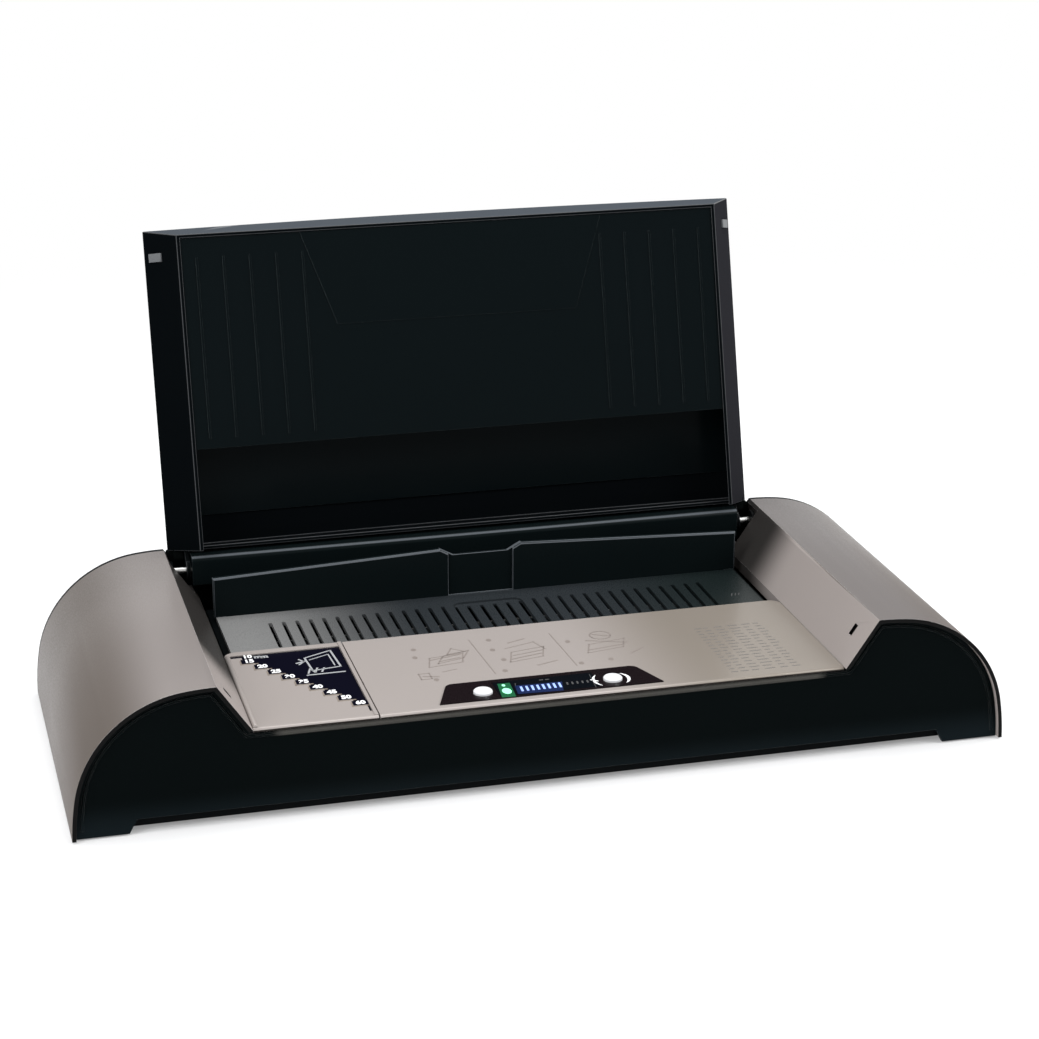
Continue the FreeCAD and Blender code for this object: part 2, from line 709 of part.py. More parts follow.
def control_outline(gap, low, high):
    """The control panel's trapezoid, with its two rear corners rounded."""
    front, rear = CONTROL_HALF_FRONT + gap, CONTROL_HALF_REAR + gap
    points = [(CONTROL_MIDDLE - front, control_front - gap), (CONTROL_MIDDLE + front, control_front - gap),
              (CONTROL_MIDDLE + rear, control_rear + gap), (CONTROL_MIDDLE - rear, control_rear + gap)]
    slab = prism(points, "z", low, high)
    return round_edges(slab, CONTROL_CORNER_R,
                       lambda edge: along(edge, Vector(0, 0, 1))
                       and edge.BoundBox.YMin > control_rear - gap - FIT)


def deck_plate():
    """The main deck plate, with the control panel's opening."""
    left = gauge_right + GAUGE_GROOVE
    plate = plate_outline(left, deck_x - DECK_SIDE_GAP, False, True)
    return deck_tilt(less(plate, control_outline(CONTROL_GAP, deck_low - OVERRUN, DECK_Z + OVERRUN)))


def stair_points(inset):
    """The stepped outline of the thickness gauge: a right-angled field whose long side is a stair."""
    right = gauge_right - GAUGE_RIB_WIDTH - inset
    rear = DECK_REAR - GAUGE_REAR_MARGIN - inset
    left = gauge_left + GAUGE_STAIR_INSET
    first = DECK_REAR - GAUGE_FIRST_INSET
    run = (gauge_right - GAUGE_RIB_WIDTH - GAUGE_LAST_STEP - left) / (GAUGE_STEPS - 1)
    rise = (first - deck_front - GAUGE_FRONT_MARGIN) / (GAUGE_STEPS - 1)
    points = [(right, rear)]
    for step in range(GAUGE_STEPS):
        x = left + step * run + inset
        points.append((x, rear if step == 0 else first - (step - 1) * rise + inset))
        points.append((x, first - step * rise + inset))
    points.append((right, first - (GAUGE_STEPS - 1) * rise + inset))
    return points


def gauge_plate():
    """The gauge plate left of the deck: a stepped recess, a bead at the slope and a rib beside the groove."""
    plate = plate_outline(gauge_left, gauge_right, True, False)
    recess = prism(stair_points(0), "z", DECK_Z - GAUGE_RECESS, DECK_Z + OVERRUN)
    bead_x = gauge_left + GAUGE_BEAD_R
    bead_front = deck_front + DECK_EDGE_R
    bead = rod(GAUGE_BEAD_R, Vector(bead_x, bead_front, DECK_Z),
               Vector(bead_x, DECK_REAR - DECK_CORNER_R, DECK_Z))
    bead = bead.common(box(gauge_left, gauge_right, bead_front, DECK_REAR, deck_low, DECK_Z + OVERRUN))
    rib = box(gauge_right - GAUGE_RIB_WIDTH, gauge_right, bead_front, DECK_REAR,
              deck_low, DECK_Z + GAUGE_RIB_HIGH)
    return deck_tilt(join(less(plate, recess), bead, rib))


def gauge_label():
    """The thin printed label in the gauge's recess."""
    low = DECK_Z - GAUGE_RECESS
    return deck_tilt(prism(stair_points(GAUGE_LABEL_GAP), "z", low, low + GAUGE_LABEL_THICK))


def deck_support():
    """The cross bar under the deck, on two legs."""
    half = deck_x - SUPPORT_INSET
    leg_x = half - SUPPORT_LEG_INSET
    bar = box(-half, half, support_y, support_y + SUPPORT_DEPTH, deck_low - SUPPORT_HIGH, deck_low)
    legs = [box(x - SUPPORT_LEG_WIDTH / 2, x + SUPPORT_LEG_WIDTH / 2, support_y, support_y + SUPPORT_DEPTH,
                0, deck_low - SUPPORT_HIGH) for x in (-leg_x, leg_x)]
    return over(deck_tilt(join(bar, *legs)), tray_top)


def window_room(gap):
    """The display window's place in the control panel."""
    return box(CONTROL_MIDDLE - WINDOW_LEFT_REACH - gap, CONTROL_MIDDLE + WINDOW_RIGHT_REACH + gap,
               control_front + WINDOW_FRONT_INSET - gap, control_rear - WINDOW_REAR_INSET + gap,
               DECK_Z + CONTROL_RISE - WINDOW_THICK, DECK_Z + CONTROL_RISE)


def control_panel():
    """The control panel with a shallow seat for its window and holes for the two buttons."""
    top = DECK_Z + CONTROL_RISE
    slab = control_outline(0, deck_low, top)
    holes = [rod(BUTTON_R + BUTTON_GAP, Vector(x, button_y, deck_low - OVERRUN),
                 Vector(x, button_y, top + OVERRUN)) for x in button_xs]
    return deck_tilt(less(slab, window_room(0), *holes))


def control_button(x):
    """A round button with a square flange under the panel and a square stem over its switch."""
    top = DECK_Z + CONTROL_RISE + BUTTON_RISE
    flange_top = deck_low - FIT
    cap = rod(BUTTON_R, Vector(x, button_y, flange_top - BUTTON_FLANGE_THICK), Vector(x, button_y, top))
    cap = cap.makeChamfer(BUTTON_EDGE, [edge for edge in cap.Edges if edge.BoundBox.ZMin > top - FIT])
    half = BUTTON_FLANGE_HALF
    flange = box(x - half, x + half, button_y - half, button_y + half,
                 flange_top - BUTTON_FLANGE_THICK, flange_top)
    stem_low = board_top + SWITCH_HIGH + BUTTON_TRAVEL + FIT
    half = BUTTON_STEM_HALF
    stem = box(x - half, x + half, button_y - half, button_y + half, stem_low, flange_top)
    return deck_tilt(join(cap, flange, stem))


def button_switches():
    """The two small switches on the board, under the buttons."""
    half = SWITCH_SIZE / 2
    return deck_tilt(Part.makeCompound([box(x - half, x + half, button_y - half, button_y + half, board_top,
                                            board_top + SWITCH_HIGH) for x in button_xs]))


def control_board():
    """The control board under the panel."""
    half = CONTROL_HALF_FRONT + BOARD_SIDE_OVER
    return deck_tilt(box(-half, half, control_front + BOARD_FRONT_INSET, board_rear,
                         board_top - BOARD_THICK, board_top))


def board_spacers():
    """The three six-sided spacers that hang the control board from the deck, behind the panel."""
    reach = CONTROL_HALF_FRONT + BOARD_SIDE_OVER - SPACER_INSET
    y = board_rear - SPACER_INSET
    return deck_tilt(Part.makeCompound([six_sided(SPACER_R, Vector(x, y, board_top), Vector(x, y, deck_low))
                                        for x in (-reach, 0, reach)]))


def cooling_shelf():
    """The slitted cooling shelf with its finger recess, which slides under the deck's rear edge."""
    front = shelf_front
    shelf = box(-shelf_half, shelf_half, front, GUARD_FRONT, shelf_low, shelf_top)
    recess = box(-FINGER_HALF, FINGER_HALF, front - OVERRUN, GUARD_FRONT - FINGER_REAR_GAP,
                 shelf_top - FINGER_DEPTH, shelf_top + OVERRUN)
    recess = round_edges(recess, FINGER_CORNER_R,
                         lambda edge: along(edge, Vector(0, 0, 1)) and edge.BoundBox.YMin > front)
    first = SLIT_END_MARGIN - shelf_half
    pitch = -(first + first) / (SLIT_COUNT - 1)
    start, end = DECK_REAR + SLIT_FRONT_GAP, GUARD_FRONT - SLIT_REAR_GAP
    slits = [prism(slot_points(first + index * pitch, SLIT_WIDTH, start, end), "z",
                   shelf_low - FIT, shelf_top + FIT) for index in range(SLIT_COUNT)]
    return deck_tilt(less(shelf, recess, *slits))


def slot_front_guard():
    """The slot's sliding front guard: roof-shaped top, a notch with a grip under it, and a lower leaf."""
    rear = GUARD_FRONT + GUARD_THICK
    notch_z = guard_mid_z - NOTCH_DEPTH
    right = [(guard_half, shelf_top), (guard_half, guard_end_z), (NOTCH_TOP_HALF, guard_mid_z),
             (NOTCH_LOW_HALF, notch_z)]
    left = [(-x, z) for x, z in reversed(right)]
    leaf = prism(right + left, "y", GUARD_FRONT, rear)
    face_y = GUARD_FRONT + FIT
    top = [edge for edge in leaf.Edges if edge.BoundBox.YMax < face_y
           and (edge.BoundBox.ZMin > guard_end_z - FIT or edge.BoundBox.XLength < FIT)]
    leaf = leaf.makeChamfer(GUARD_BEVEL, top)
    grip = box(-GRIP_HALF, GRIP_HALF, GUARD_FRONT - OVERRUN, GUARD_FRONT + GRIP_DEPTH, shelf_top, CREST_Z)
    half = shelf_half - GUARD_LEAF_INSET
    lower = box(-half, half, GUARD_FRONT, rear, heater_top + GUARD_LEAF_GAP, shelf_top)
    return deck_tilt(join(less(leaf, grip), lower))


def carriage_rail(side):
    """A rail under one end of the shelf, on two legs."""
    top = shelf_low - FIT
    low = top - RAIL_HIGH
    rail = box(rail_inner, rail_outer, rail_front, rail_rear, low, top)
    legs = [box(rail_inner, rail_outer, y, y + RAIL_LEG_DEPTH, 0, low)
            for y in (rail_front + RAIL_LEG_INSET, rail_rear - RAIL_LEG_INSET - RAIL_LEG_DEPTH)]
    return mirrored(over(deck_tilt(join(rail, *legs)), tray_top), side)


def rear_guard():
    """The slot's rear guard: a hollow bar over the hinge line, with a skirt down into the slot."""
    rear = SHELL_REAR
    low = CREST_Z - REAR_GUARD_HIGH
    bar = box(-rear_guard_half, rear_guard_half, rear_guard_front, rear, low, CREST_Z)
    top = [edge for edge in bar.Edges if along(edge, Vector(1, 0, 0)) and edge.BoundBox.ZMin > CREST_Z - FIT]
    back = [edge for edge in top if edge.BoundBox.YMin > rear - FIT]
    # The rounded back edge clears the lid's end wall when the lid stands open.
    bar = bar.makeFillet(REAR_GUARD_BACK_R, back)
    bar = round_edges(bar, REAR_GUARD_EDGE, lambda edge: along(edge, Vector(1, 0, 0))
                      and edge.BoundBox.ZMin > CREST_Z - FIT and edge.BoundBox.YMax < rear_guard_front + FIT)
    hollow = box(-rear_guard_half + REAR_GUARD_END, rear_guard_half - REAR_GUARD_END,
                 rear_guard_front + REAR_GUARD_WALL, rear - REAR_GUARD_WALL, low - OVERRUN,
                 CREST_Z - REAR_GUARD_WALL)
    half = rear_guard_half - REAR_SKIRT_INSET
    skirt = box(-half, half, rear_guard_front, rear_guard_front + REAR_GUARD_WALL,
                heater_top + REAR_SKIRT_GAP, low + REAR_GUARD_WALL)
    bore = rod(PIN_R, Vector(-WIDTH, hinge_y, hinge_z), Vector(WIDTH, hinge_y, hinge_z))
    return deck_tilt(less(join(less(bar, hollow), skirt), bore))


def hinge_pin(side):
    """A steel pin from the rear guard's end, through the lid's arm, to the bracket."""
    start = rear_guard_half - PIN_INSIDE
    end = bracket_x + BRACKET_THICK
    pin = rod(PIN_R, Vector(start, hinge_y, hinge_z), Vector(end, hinge_y, hinge_z))
    return mirrored(deck_tilt(pin), side)


def hinge_bracket(side):
    """An upright bracket from the tray to the hinge pin, with a bent foot."""
    end = bracket_x + BRACKET_THICK
    web = box(bracket_x, end, hinge_y - BRACKET_R, hinge_y + BRACKET_R, 0, hinge_z)
    head = rod(BRACKET_R, Vector(bracket_x, hinge_y, hinge_z), Vector(end, hinge_y, hinge_z))
    bore = rod(PIN_R, Vector(bracket_x - OVERRUN, hinge_y, hinge_z), Vector(end + OVERRUN, hinge_y, hinge_z))
    upright = over(deck_tilt(less(join(web, head), bore)), tray_top)
    foot = box(bracket_x - BRACKET_FOOT, bracket_x + BRACKET_THICK / 2, hinge_y - BRACKET_R,
               hinge_y + BRACKET_R, tray_top, tray_top + BRACKET_FOOT_THICK)
    return mirrored(join(upright, foot), side)


def heater_plate():
    """The flat heated plate on which the spine stands."""
    return deck_tilt(box(-heater_half, heater_half, heater_front, heater_rear, heater_low, heater_top))


def heating_elements():
    """Two flat heating elements under the plate."""
    half = heater_half - BLOCK_INSET - BLOCK_SIZE / 2 - ELEMENT_GAP
    bars = []
    for shift in (-ELEMENT_SPREAD / 2, ELEMENT_SPREAD / 2):
        y = heater_middle + shift
        bars.append(box(-half, half, y - ELEMENT_DEPTH / 2, y + ELEMENT_DEPTH / 2,
                        heater_low - ELEMENT_THICK, heater_low))
    return deck_tilt(Part.makeCompound(bars))


def heater_supports():
    """Four insulating blocks between the shield's floor and the plate."""
    low = shield_low + SHIELD_WALL
    half = BLOCK_SIZE / 2
    x = heater_half - BLOCK_INSET
    ys = (heater_front + BLOCK_INSET, heater_rear - BLOCK_INSET)
    return deck_tilt(Part.makeCompound([box(cx - half, cx + half, y - half, y + half, low, heater_low)
                                        for cx in (-x, x) for y in ys]))


def heat_shield():
    """The sheet-metal trough round the heater, on four legs."""
    half = heater_half + SHIELD_GAP
    front, rear = heater_front - SHIELD_GAP, heater_rear + SHIELD_GAP
    outer = box(-half - SHIELD_WALL, half + SHIELD_WALL, front - SHIELD_WALL, rear + SHIELD_WALL,
                shield_low, shield_top)
    trough = less(outer, box(-half, half, front, rear, shield_low + SHIELD_WALL, shield_top + OVERRUN))
    x = half - SHIELD_LEG_INSET
    legs = [box(cx - SHIELD_LEG_WIDTH / 2, cx + SHIELD_LEG_WIDTH / 2, y, y + SHIELD_WALL, 0, shield_low)
            for cx in (-x, x) for y in (front, rear - SHIELD_WALL)]
    return over(deck_tilt(join(trough, *legs)), tray_top)


def thermostat():
    """The round thermostat under the plate."""
    return deck_tilt(rod(THERMOSTAT_R, Vector(THERMOSTAT_X, heater_middle, heater_low - THERMOSTAT_THICK),
                         Vector(THERMOSTAT_X, heater_middle, heater_low)))


def thermal_fuse():
    """The small thermal fuse, lying against the plate's underside."""
    z = heater_low - FUSE_R
    half = FUSE_LENGTH / 2
    return deck_tilt(rod(FUSE_R, Vector(FUSE_X - half, heater_middle, z),
                         Vector(FUSE_X + half, heater_middle, z)))


def lid_block(inset, front, rear, low):
    """The lid's section, set inwards by a wall, drawn from front to rear: slanted sides under a low arch."""
    side = inset * slope_stretch
    low_x = lid_half - (CREST_Z - low) * slope - side
    edge_x = lid_half - side
    crown_z = CREST_Z + LID_CROWN - inset
    edge_z = CREST_Z - inset * LID_EDGE_SHARE
    edges = [Part.makeLine(Vector(-low_x, 0, low), Vector(low_x, 0, low)),
             Part.makeLine(Vector(low_x, 0, low), Vector(edge_x, 0, edge_z)),
             Part.Arc(Vector(edge_x, 0, edge_z), Vector(0, 0, crown_z), Vector(-edge_x, 0, edge_z)).toShape(),
             Part.makeLine(Vector(-edge_x, 0, edge_z), Vector(-low_x, 0, low))]
    section = Part.Face(Part.Wire(Part.__sortEdges__(edges)))
    return section.extrude(Vector(0, rear - front, 0)).translate(Vector(0, front, 0))


def front_slant(shift):
    """What lies in front of the lid's slanted free end, moved back by a wall."""
    y_top = lid_front + shift
    y_low = y_top + LID_FRONT_SLANT
    top_z = CREST_Z + LID_CROWN + OVERRUN
    lean = LID_FRONT_SLANT / LID_DEPTH
    points = [(y_top - lean * (top_z - CREST_Z), top_z), (y_low + lean * OVERRUN, rim_z - OVERRUN),
              (y_low - OVERRUN - OVERRUN, rim_z - OVERRUN), (y_low - OVERRUN - OVERRUN, top_z)]
    return prism(points, "x", -WIDTH, WIDTH)


def lid_cover():
    """The lid's outer cover: a shallow box with slanted sides under a low arch, open below."""
    outer = less(lid_block(0, lid_front - OVERRUN, lid_rear, rim_z), front_slant(0))
    inner = less(lid_block(LID_WALL, lid_front - OVERRUN, lid_rear + OVERRUN, rim_z - OVERRUN),
                 front_slant(LID_WALL))
    end_wall = lid_block(0, lid_rear - LID_WALL, lid_rear, CREST_Z - LID_END_LIP)
    half = arm_in - FIT
    end_lip = box(-half, half, lid_rear - LID_WALL, lid_rear, CREST_Z - LID_END_DROP, CREST_Z)
    return lid_place(join(less(outer, inner), end_wall, end_lip))


def lid_inner_panel():
    """The lid's inner panel: ribbed flat field, and a pocket that clears the slot guard over its travel."""
    low = rim_z + PANEL_LIFT
    top = low + INNER_THICK
    front = lid_front + LID_WALL + LID_FRONT_SLANT
    pocket = lid_rear - POCKET_FAR
    liner_low = CREST_Z - LINER_DROP
    half = lid_rim_half + PANEL_LIFT * slope - LID_WALL * slope_stretch - INNER_GAP
    sheet = box(-half, half, front + INNER_GAP, pocket, low, top)
    web = lid_block(LID_WALL + INNER_GAP, pocket, pocket + INNER_THICK, low).common(
        box(-half, half, pocket, pocket + INNER_THICK, low, CREST_Z + LID_CROWN))
    liner = less(lid_block(LID_WALL + INNER_GAP, pocket, lid_rear - POCKET_NEAR, liner_low),
                 lid_block(LID_WALL + INNER_GAP + LINER_THICK, pocket + INNER_THICK, lid_rear + OVERRUN,
                           liner_low - OVERRUN))
    ribs = []
    for index in range(LID_RIB_COUNT):
        for side in (-1, 1):
            x = side * (lid_rim_half - LID_RIB_MARGIN - index * LID_RIB_PITCH)
            ribs.append(box(x - LID_RIB_WIDTH / 2, x + LID_RIB_WIDTH / 2, front + LID_RIB_START,
                            pocket - LID_RIB_END, low - LID_RIB_HIGH, low))
    wide, narrow = lid_rim_half - FIELD_FRONT_INSET, lid_rim_half - FIELD_REAR_INSET
    field = prism([(-wide, front + INNER_GAP), (wide, front + INNER_GAP),
                   (narrow, front + FIELD_LENGTH), (-narrow, front + FIELD_LENGTH)],
                  "z", low - FIELD_RAISE, low)
    return lid_place(join(sheet, web, liner, field, *ribs))


def lid_arm(side):
    """A hinge arm: a plate with an eye on the pin, and a lug that fills the corner of the lid's side."""
    out = arm_in + ARM_THICK
    high, low = CREST_Z - ARM_TOP_DROP, CREST_Z - ARM_LOW_DROP
    reach = lid_rear - ARM_REACH
    plate = prism([(hinge_y, hinge_z + ARM_R), (reach, high), (reach, low), (lid_rear, low),
                   (hinge_y, hinge_z - ARM_R)], "x", arm_in, out)
    eye = rod(ARM_R, Vector(arm_in, hinge_y, hinge_z), Vector(out, hinge_y, hinge_z))
    lug = lid_block(LID_WALL, lid_rear - LUG_FRONT, lid_rear - LUG_REAR, low).common(
        box(arm_in, lid_half, lid_rear - LUG_FRONT, lid_rear - LUG_REAR, low, high))
    bore = rod(PIN_R + PIN_CLEAR, Vector(arm_in - OVERRUN, hinge_y, hinge_z),
               Vector(out + OVERRUN, hinge_y, hinge_z))
    return mirrored(lid_place(less(join(plate, eye, lug), bore)), side)


def lid_latch(side):
    """A latch spring on the lid's slanted side, near its free end, which meets the slot in the slope."""
    latch = Part.makeBox(LATCH_PROUD, LATCH_WIDTH, LATCH_LENGTH, Vector(0, -LATCH_WIDTH / 2, -LATCH_LENGTH))
    latch = round_edges(latch, LATCH_ROUND, lambda edge: along(edge, Vector(0, 1, 0))
                        and edge.BoundBox.XMin > LATCH_PROUD / 2)
    latch.rotate(Vector(0, 0, 0), Vector(0, 1, 0), math.degrees(math.atan(slope)))
    latch.translate(Vector(lid_half - LATCH_NEAR * slope, catch_y, CREST_Z - LATCH_NEAR))
    return mirrored(lid_place(latch), side)


def on_rear(shape):
    """Moves a shape drawn with its outer face at zero depth to the rear panel's face, and tilts it."""
    return deck_tilt(shape.translate(Vector(0, rear_face, 0)))


def mains_inlet():
    """The mains inlet: a bezel outside the panel and an open socket behind it."""
    half_x, half_z = INLET_WIDTH / 2, INLET_HIGH / 2
    body = box(inlet_x - half_x, inlet_x + half_x, -INLET_DEPTH, 0, INLET_Z - half_z, INLET_Z + half_z)
    bezel = box(inlet_x - half_x - BEZEL, inlet_x + half_x + BEZEL, 0, BEZEL_THICK,
                INLET_Z - half_z - BEZEL, INLET_Z + half_z + BEZEL)
    room_x, room_z = half_x - INLET_WALL, half_z - INLET_WALL
    room = prism([(inlet_x - room_x, INLET_Z - room_z), (inlet_x + room_x, INLET_Z - room_z),
                  (inlet_x + room_x, INLET_Z + room_z - INLET_CORNER),
                  (inlet_x + room_x - INLET_CORNER, INLET_Z + room_z),
                  (inlet_x - room_x + INLET_CORNER, INLET_Z + room_z),
                  (inlet_x - room_x, INLET_Z + room_z - INLET_CORNER)],
                 "y", -INLET_DEPTH + INLET_FLOOR, OVERRUN)
    return on_rear(less(join(body, bezel), room))


def inlet_pins():
    """The three blades in the inlet."""
    start = -INLET_DEPTH + INLET_FLOOR
    places = ((-BLADE_X, -BLADE_LOW), (0, BLADE_EARTH), (BLADE_X, -BLADE_LOW))
    blades = [box(inlet_x + x - BLADE_WIDTH / 2, inlet_x + x + BLADE_WIDTH / 2, start, start + BLADE_LENGTH,
                  INLET_Z + z - BLADE_HIGH / 2, INLET_Z + z + BLADE_HIGH / 2) for x, z in places]
    return on_rear(Part.makeCompound(blades))


def rocker_room_half():
    """Half the height of the rocker's room, which clears its corners as it tips."""
    tip = math.radians(ROCKER_REST_DEG)
    return ROCKER_HIGH / 2 * math.cos(tip) + (BEZEL_THICK - rocker_y()) * math.sin(tip) + ROCKER_GAP


def switch_halves():
    """Half the switch housing's width and height."""
    return ROCKER_WIDTH / 2 + ROCKER_GAP + ROCKER_BOX_WALL, rocker_room_half() + ROCKER_BOX_WALL


def switch_housing():
    """The power switch's housing, with a bezel outside the panel and bores for the rocker."""
    half_x, half_z = switch_halves()
    body = box(rocker_x - half_x, rocker_x + half_x, -ROCKER_BOX_DEPTH, 0,
               ROCKER_Z - half_z, ROCKER_Z + half_z)
    bezel = box(rocker_x - half_x - BEZEL, rocker_x + half_x + BEZEL, 0, BEZEL_THICK,
                ROCKER_Z - half_z - BEZEL, ROCKER_Z + half_z + BEZEL)
    room = box(rocker_x - ROCKER_WIDTH / 2 - ROCKER_GAP, rocker_x + ROCKER_WIDTH / 2 + ROCKER_GAP,
               -ROCKER_THICK - ROCKER_ROOM, OVERRUN,
               ROCKER_Z - rocker_room_half(), ROCKER_Z + rocker_room_half())
    reach = ROCKER_WIDTH / 2 + ROCKER_GAP + ROCKER_PIN_LENGTH
    bore = rod(ROCKER_PIN_R + PIN_CLEAR, Vector(rocker_x - reach, rocker_y(), ROCKER_Z),
               Vector(rocker_x + reach, rocker_y(), ROCKER_Z))
    return on_rear(less(join(body, bezel), room, bore))


def rocker_y():
    """The rocker's pivot, behind the panel's face."""
    return -ROCKER_THICK / 2


def power_rocker():
    """The rocker: a dished face on two small trunnions, resting switched off."""
    half = ROCKER_HIGH / 2
    swing = ROCKER_THICK / 2
    points = [(BEZEL_THICK, ROCKER_Z - half), (BEZEL_THICK - ROCKER_DIP, ROCKER_Z),
              (BEZEL_THICK, ROCKER_Z + half), (-swing, ROCKER_Z + half), (-ROCKER_THICK, ROCKER_Z + swing),
              (-ROCKER_THICK, ROCKER_Z - swing), (-swing, ROCKER_Z - half)]
    body = prism(points, "x", rocker_x - ROCKER_WIDTH / 2, rocker_x + ROCKER_WIDTH / 2)
    reach = ROCKER_WIDTH / 2 + ROCKER_GAP + ROCKER_PIN_LENGTH - FIT
    trunnion = rod(ROCKER_PIN_R, Vector(rocker_x - reach, rocker_y(), ROCKER_Z),
                   Vector(rocker_x + reach, rocker_y(), ROCKER_Z))
    rocker = join(body, trunnion)
    rocker.rotate(Vector(0, rocker_y(), ROCKER_Z), Vector(1, 0, 0), -ROCKER_REST_DEG)
    return on_rear(rocker)


def rear_screws():
    """The six-sided screw heads on the rear panel."""
    return on_rear(Part.makeCompound([six_sided(SCREW_R, Vector(half_width * share, 0, REAR_SCREW_Z),
                                                Vector(half_width * share, SCREW_HEAD, REAR_SCREW_Z))
                                      for share in REAR_SCREW_SHARES]))


def power_board():
    """The power supply's board."""
    return box(power_left, power_right, -POWER_BOARD_HALF_Y, POWER_BOARD_HALF_Y, power_base,
               power_base + BOARD_THICK)


def power_board_posts():
    """Four six-sided posts between the tray and the power board."""
    xs = (power_left + POWER_POST_INSET, power_right - POWER_POST_INSET)
    ys = (-POWER_BOARD_HALF_Y + POWER_POST_INSET, POWER_BOARD_HALF_Y - POWER_POST_INSET)
    return Part.makeCompound([six_sided(POWER_POST_R, Vector(x, y, tray_top), Vector(x, y, power_base))
                              for x in xs for y in ys])


def on_power_board(shift, lift, width, depth, high):
    """A block on the middle of the power board, moved along it and lifted."""
    x = (power_left + power_right) / 2
    low = power_base + BOARD_THICK + lift
    return box(x - width / 2, x + width / 2, shift - depth / 2, shift + depth / 2, low, low + high)


def transformer():
    """The transformer on the power board: a coil in a laminated core."""
    core = on_power_board(-PART_SHIFT, 0, CORE_WIDTH, CORE_DEPTH, CORE_HIGH)
    coil = on_power_board(-PART_SHIFT, (CORE_HIGH - COIL_HIGH) / 2, COIL_WIDTH, COIL_DEPTH, COIL_HIGH)
    return join(core, coil)


def parts():
    """Every node's name with its shape."""
    made = {
        "base_tray": base_tray(),
        "base_screws": base_screws(),
        "front_panel": front_panel(),
        "rear_panel": rear_panel(),
        "rear_screws": rear_screws(),
        "deck_plate": deck_plate(),
        "deck_support": deck_support(),
        "gauge_plate": gauge_plate(),
        "gauge_label": gauge_label(),
        "control_panel": control_panel(),
        "display_window": deck_tilt(window_room(-CONTROL_GAP)),
        "select_button": control_button(button_xs[0]),
        "start_button": control_button(button_xs[1]),
        "button_switches": button_switches(),
        "control_board": control_board(),
        "board_spacers": board_spacers(),
        "cooling_shelf": cooling_shelf(),
        "slot_front_guard": slot_front_guard(),
        "rear_guard": rear_guard(),
        "heater_plate": heater_plate(),
        "heating_elements": heating_elements(),
        "heater_supports": heater_supports(),
        "heat_shield": heat_shield(),
        "thermostat": thermostat(),
        "thermal_fuse": thermal_fuse(),
        "lid_cover": lid_cover(),
        "lid_inner_panel": lid_inner_panel(),
        "mains_inlet": mains_inlet(),
        "inlet_pins": inlet_pins(),
        "switch_housing": switch_housing(),
        "power_rocker": power_rocker(),
        "power_board": power_board(),
        "power_board_posts": power_board_posts(),
        "transformer": transformer(),
        "relay": on_power_board(PART_SHIFT, 0, RELAY_WIDTH, RELAY_DEPTH, RELAY_HIGH),
    }
    for place, (x, y) in foot_places().items():
        made["rubber_foot_" + place] = rubber_foot(x, y)
    for name, side in SIDES:
        made["side_shell_" + name] = side_shell(side)
        made["carriage_rail_" + name] = carriage_rail(side)
        made["hinge_pin_" + name] = hinge_pin(side)
        made["hinge_bracket_" + name] = hinge_bracket(side)
        made["lid_arm_" + name] = lid_arm(side)
        made["lid_latch_" + name] = lid_latch(side)
    return made


def main():
    """Writes one STEP file per node."""
    os.makedirs("parts", exist_ok=True)
    for name, shape in parts().items():
        if not shape.isValid() or shape.Volume <= 0:
            print("bad shape:", name)
        shape.exportStep(os.path.join("parts", name + ".step"))


main()
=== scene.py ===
import math

import bmesh
import bpy
from mathutils import Matrix, Vector


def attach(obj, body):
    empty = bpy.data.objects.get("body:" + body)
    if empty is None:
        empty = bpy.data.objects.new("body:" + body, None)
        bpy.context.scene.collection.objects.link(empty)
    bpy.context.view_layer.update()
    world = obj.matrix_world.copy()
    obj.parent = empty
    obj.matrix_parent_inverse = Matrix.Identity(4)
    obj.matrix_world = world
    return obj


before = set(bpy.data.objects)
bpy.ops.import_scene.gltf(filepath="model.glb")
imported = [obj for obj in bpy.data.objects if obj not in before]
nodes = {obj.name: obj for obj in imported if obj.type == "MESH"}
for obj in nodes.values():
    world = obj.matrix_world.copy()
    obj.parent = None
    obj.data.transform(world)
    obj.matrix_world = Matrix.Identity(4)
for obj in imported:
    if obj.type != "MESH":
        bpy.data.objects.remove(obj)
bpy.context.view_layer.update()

# Deck frame: the deck's own level coordinates in millimetres, tilted up to the rear in the room
MM = 0.001
DECK_Z = 56.0
TILT = math.radians(1.1)
PRINT_THICK = 0.05
DIGIT_SWELL = 0.05
LID_OPEN = math.radians(105.4)
HINGE = (99.2, 73.3)


def deck(x, y, z):
    """A point of the deck frame, in the room."""
    up = z - DECK_Z
    c, s = math.cos(TILT), math.sin(TILT)
    return Vector((x, y * c - up * s, DECK_Z + y * s + up * c)) * MM


def closed(x, y, z):
    """A point of the closed, level lid, in the room with the lid open."""
    dy, dz = y - HINGE[0], z - HINGE[1]
    c, s = math.cos(-LID_OPEN), math.sin(-LID_OPEN)
    return deck(x, HINGE[0] + dy * c - dz * s, HINGE[1] + dy * s + dz * c)


# Node material helpers, and how fine the noise in the finishes is
BROAD_SCALE = 14.0
GRAIN_SCALE = 6.0
GRAIN_DETAIL = 3.0


def material(name):
    """A new node material with its tree, shader and object coordinates."""
    made = bpy.data.materials.new(name)
    made.use_nodes = True
    tree = made.node_tree
    shader = tree.nodes["Principled BSDF"]
    coord = tree.nodes.new("ShaderNodeTexCoord")
    return made, tree, shader, coord


def scaled(tree, coord, scale):
    """Object coordinates stretched by a scale in each direction."""
    mapping = tree.nodes.new("ShaderNodeMapping")
    mapping.inputs["Scale"].default_value = scale
    tree.links.new(coord.outputs["Object"], mapping.inputs["Vector"])
    return mapping.outputs["Vector"]


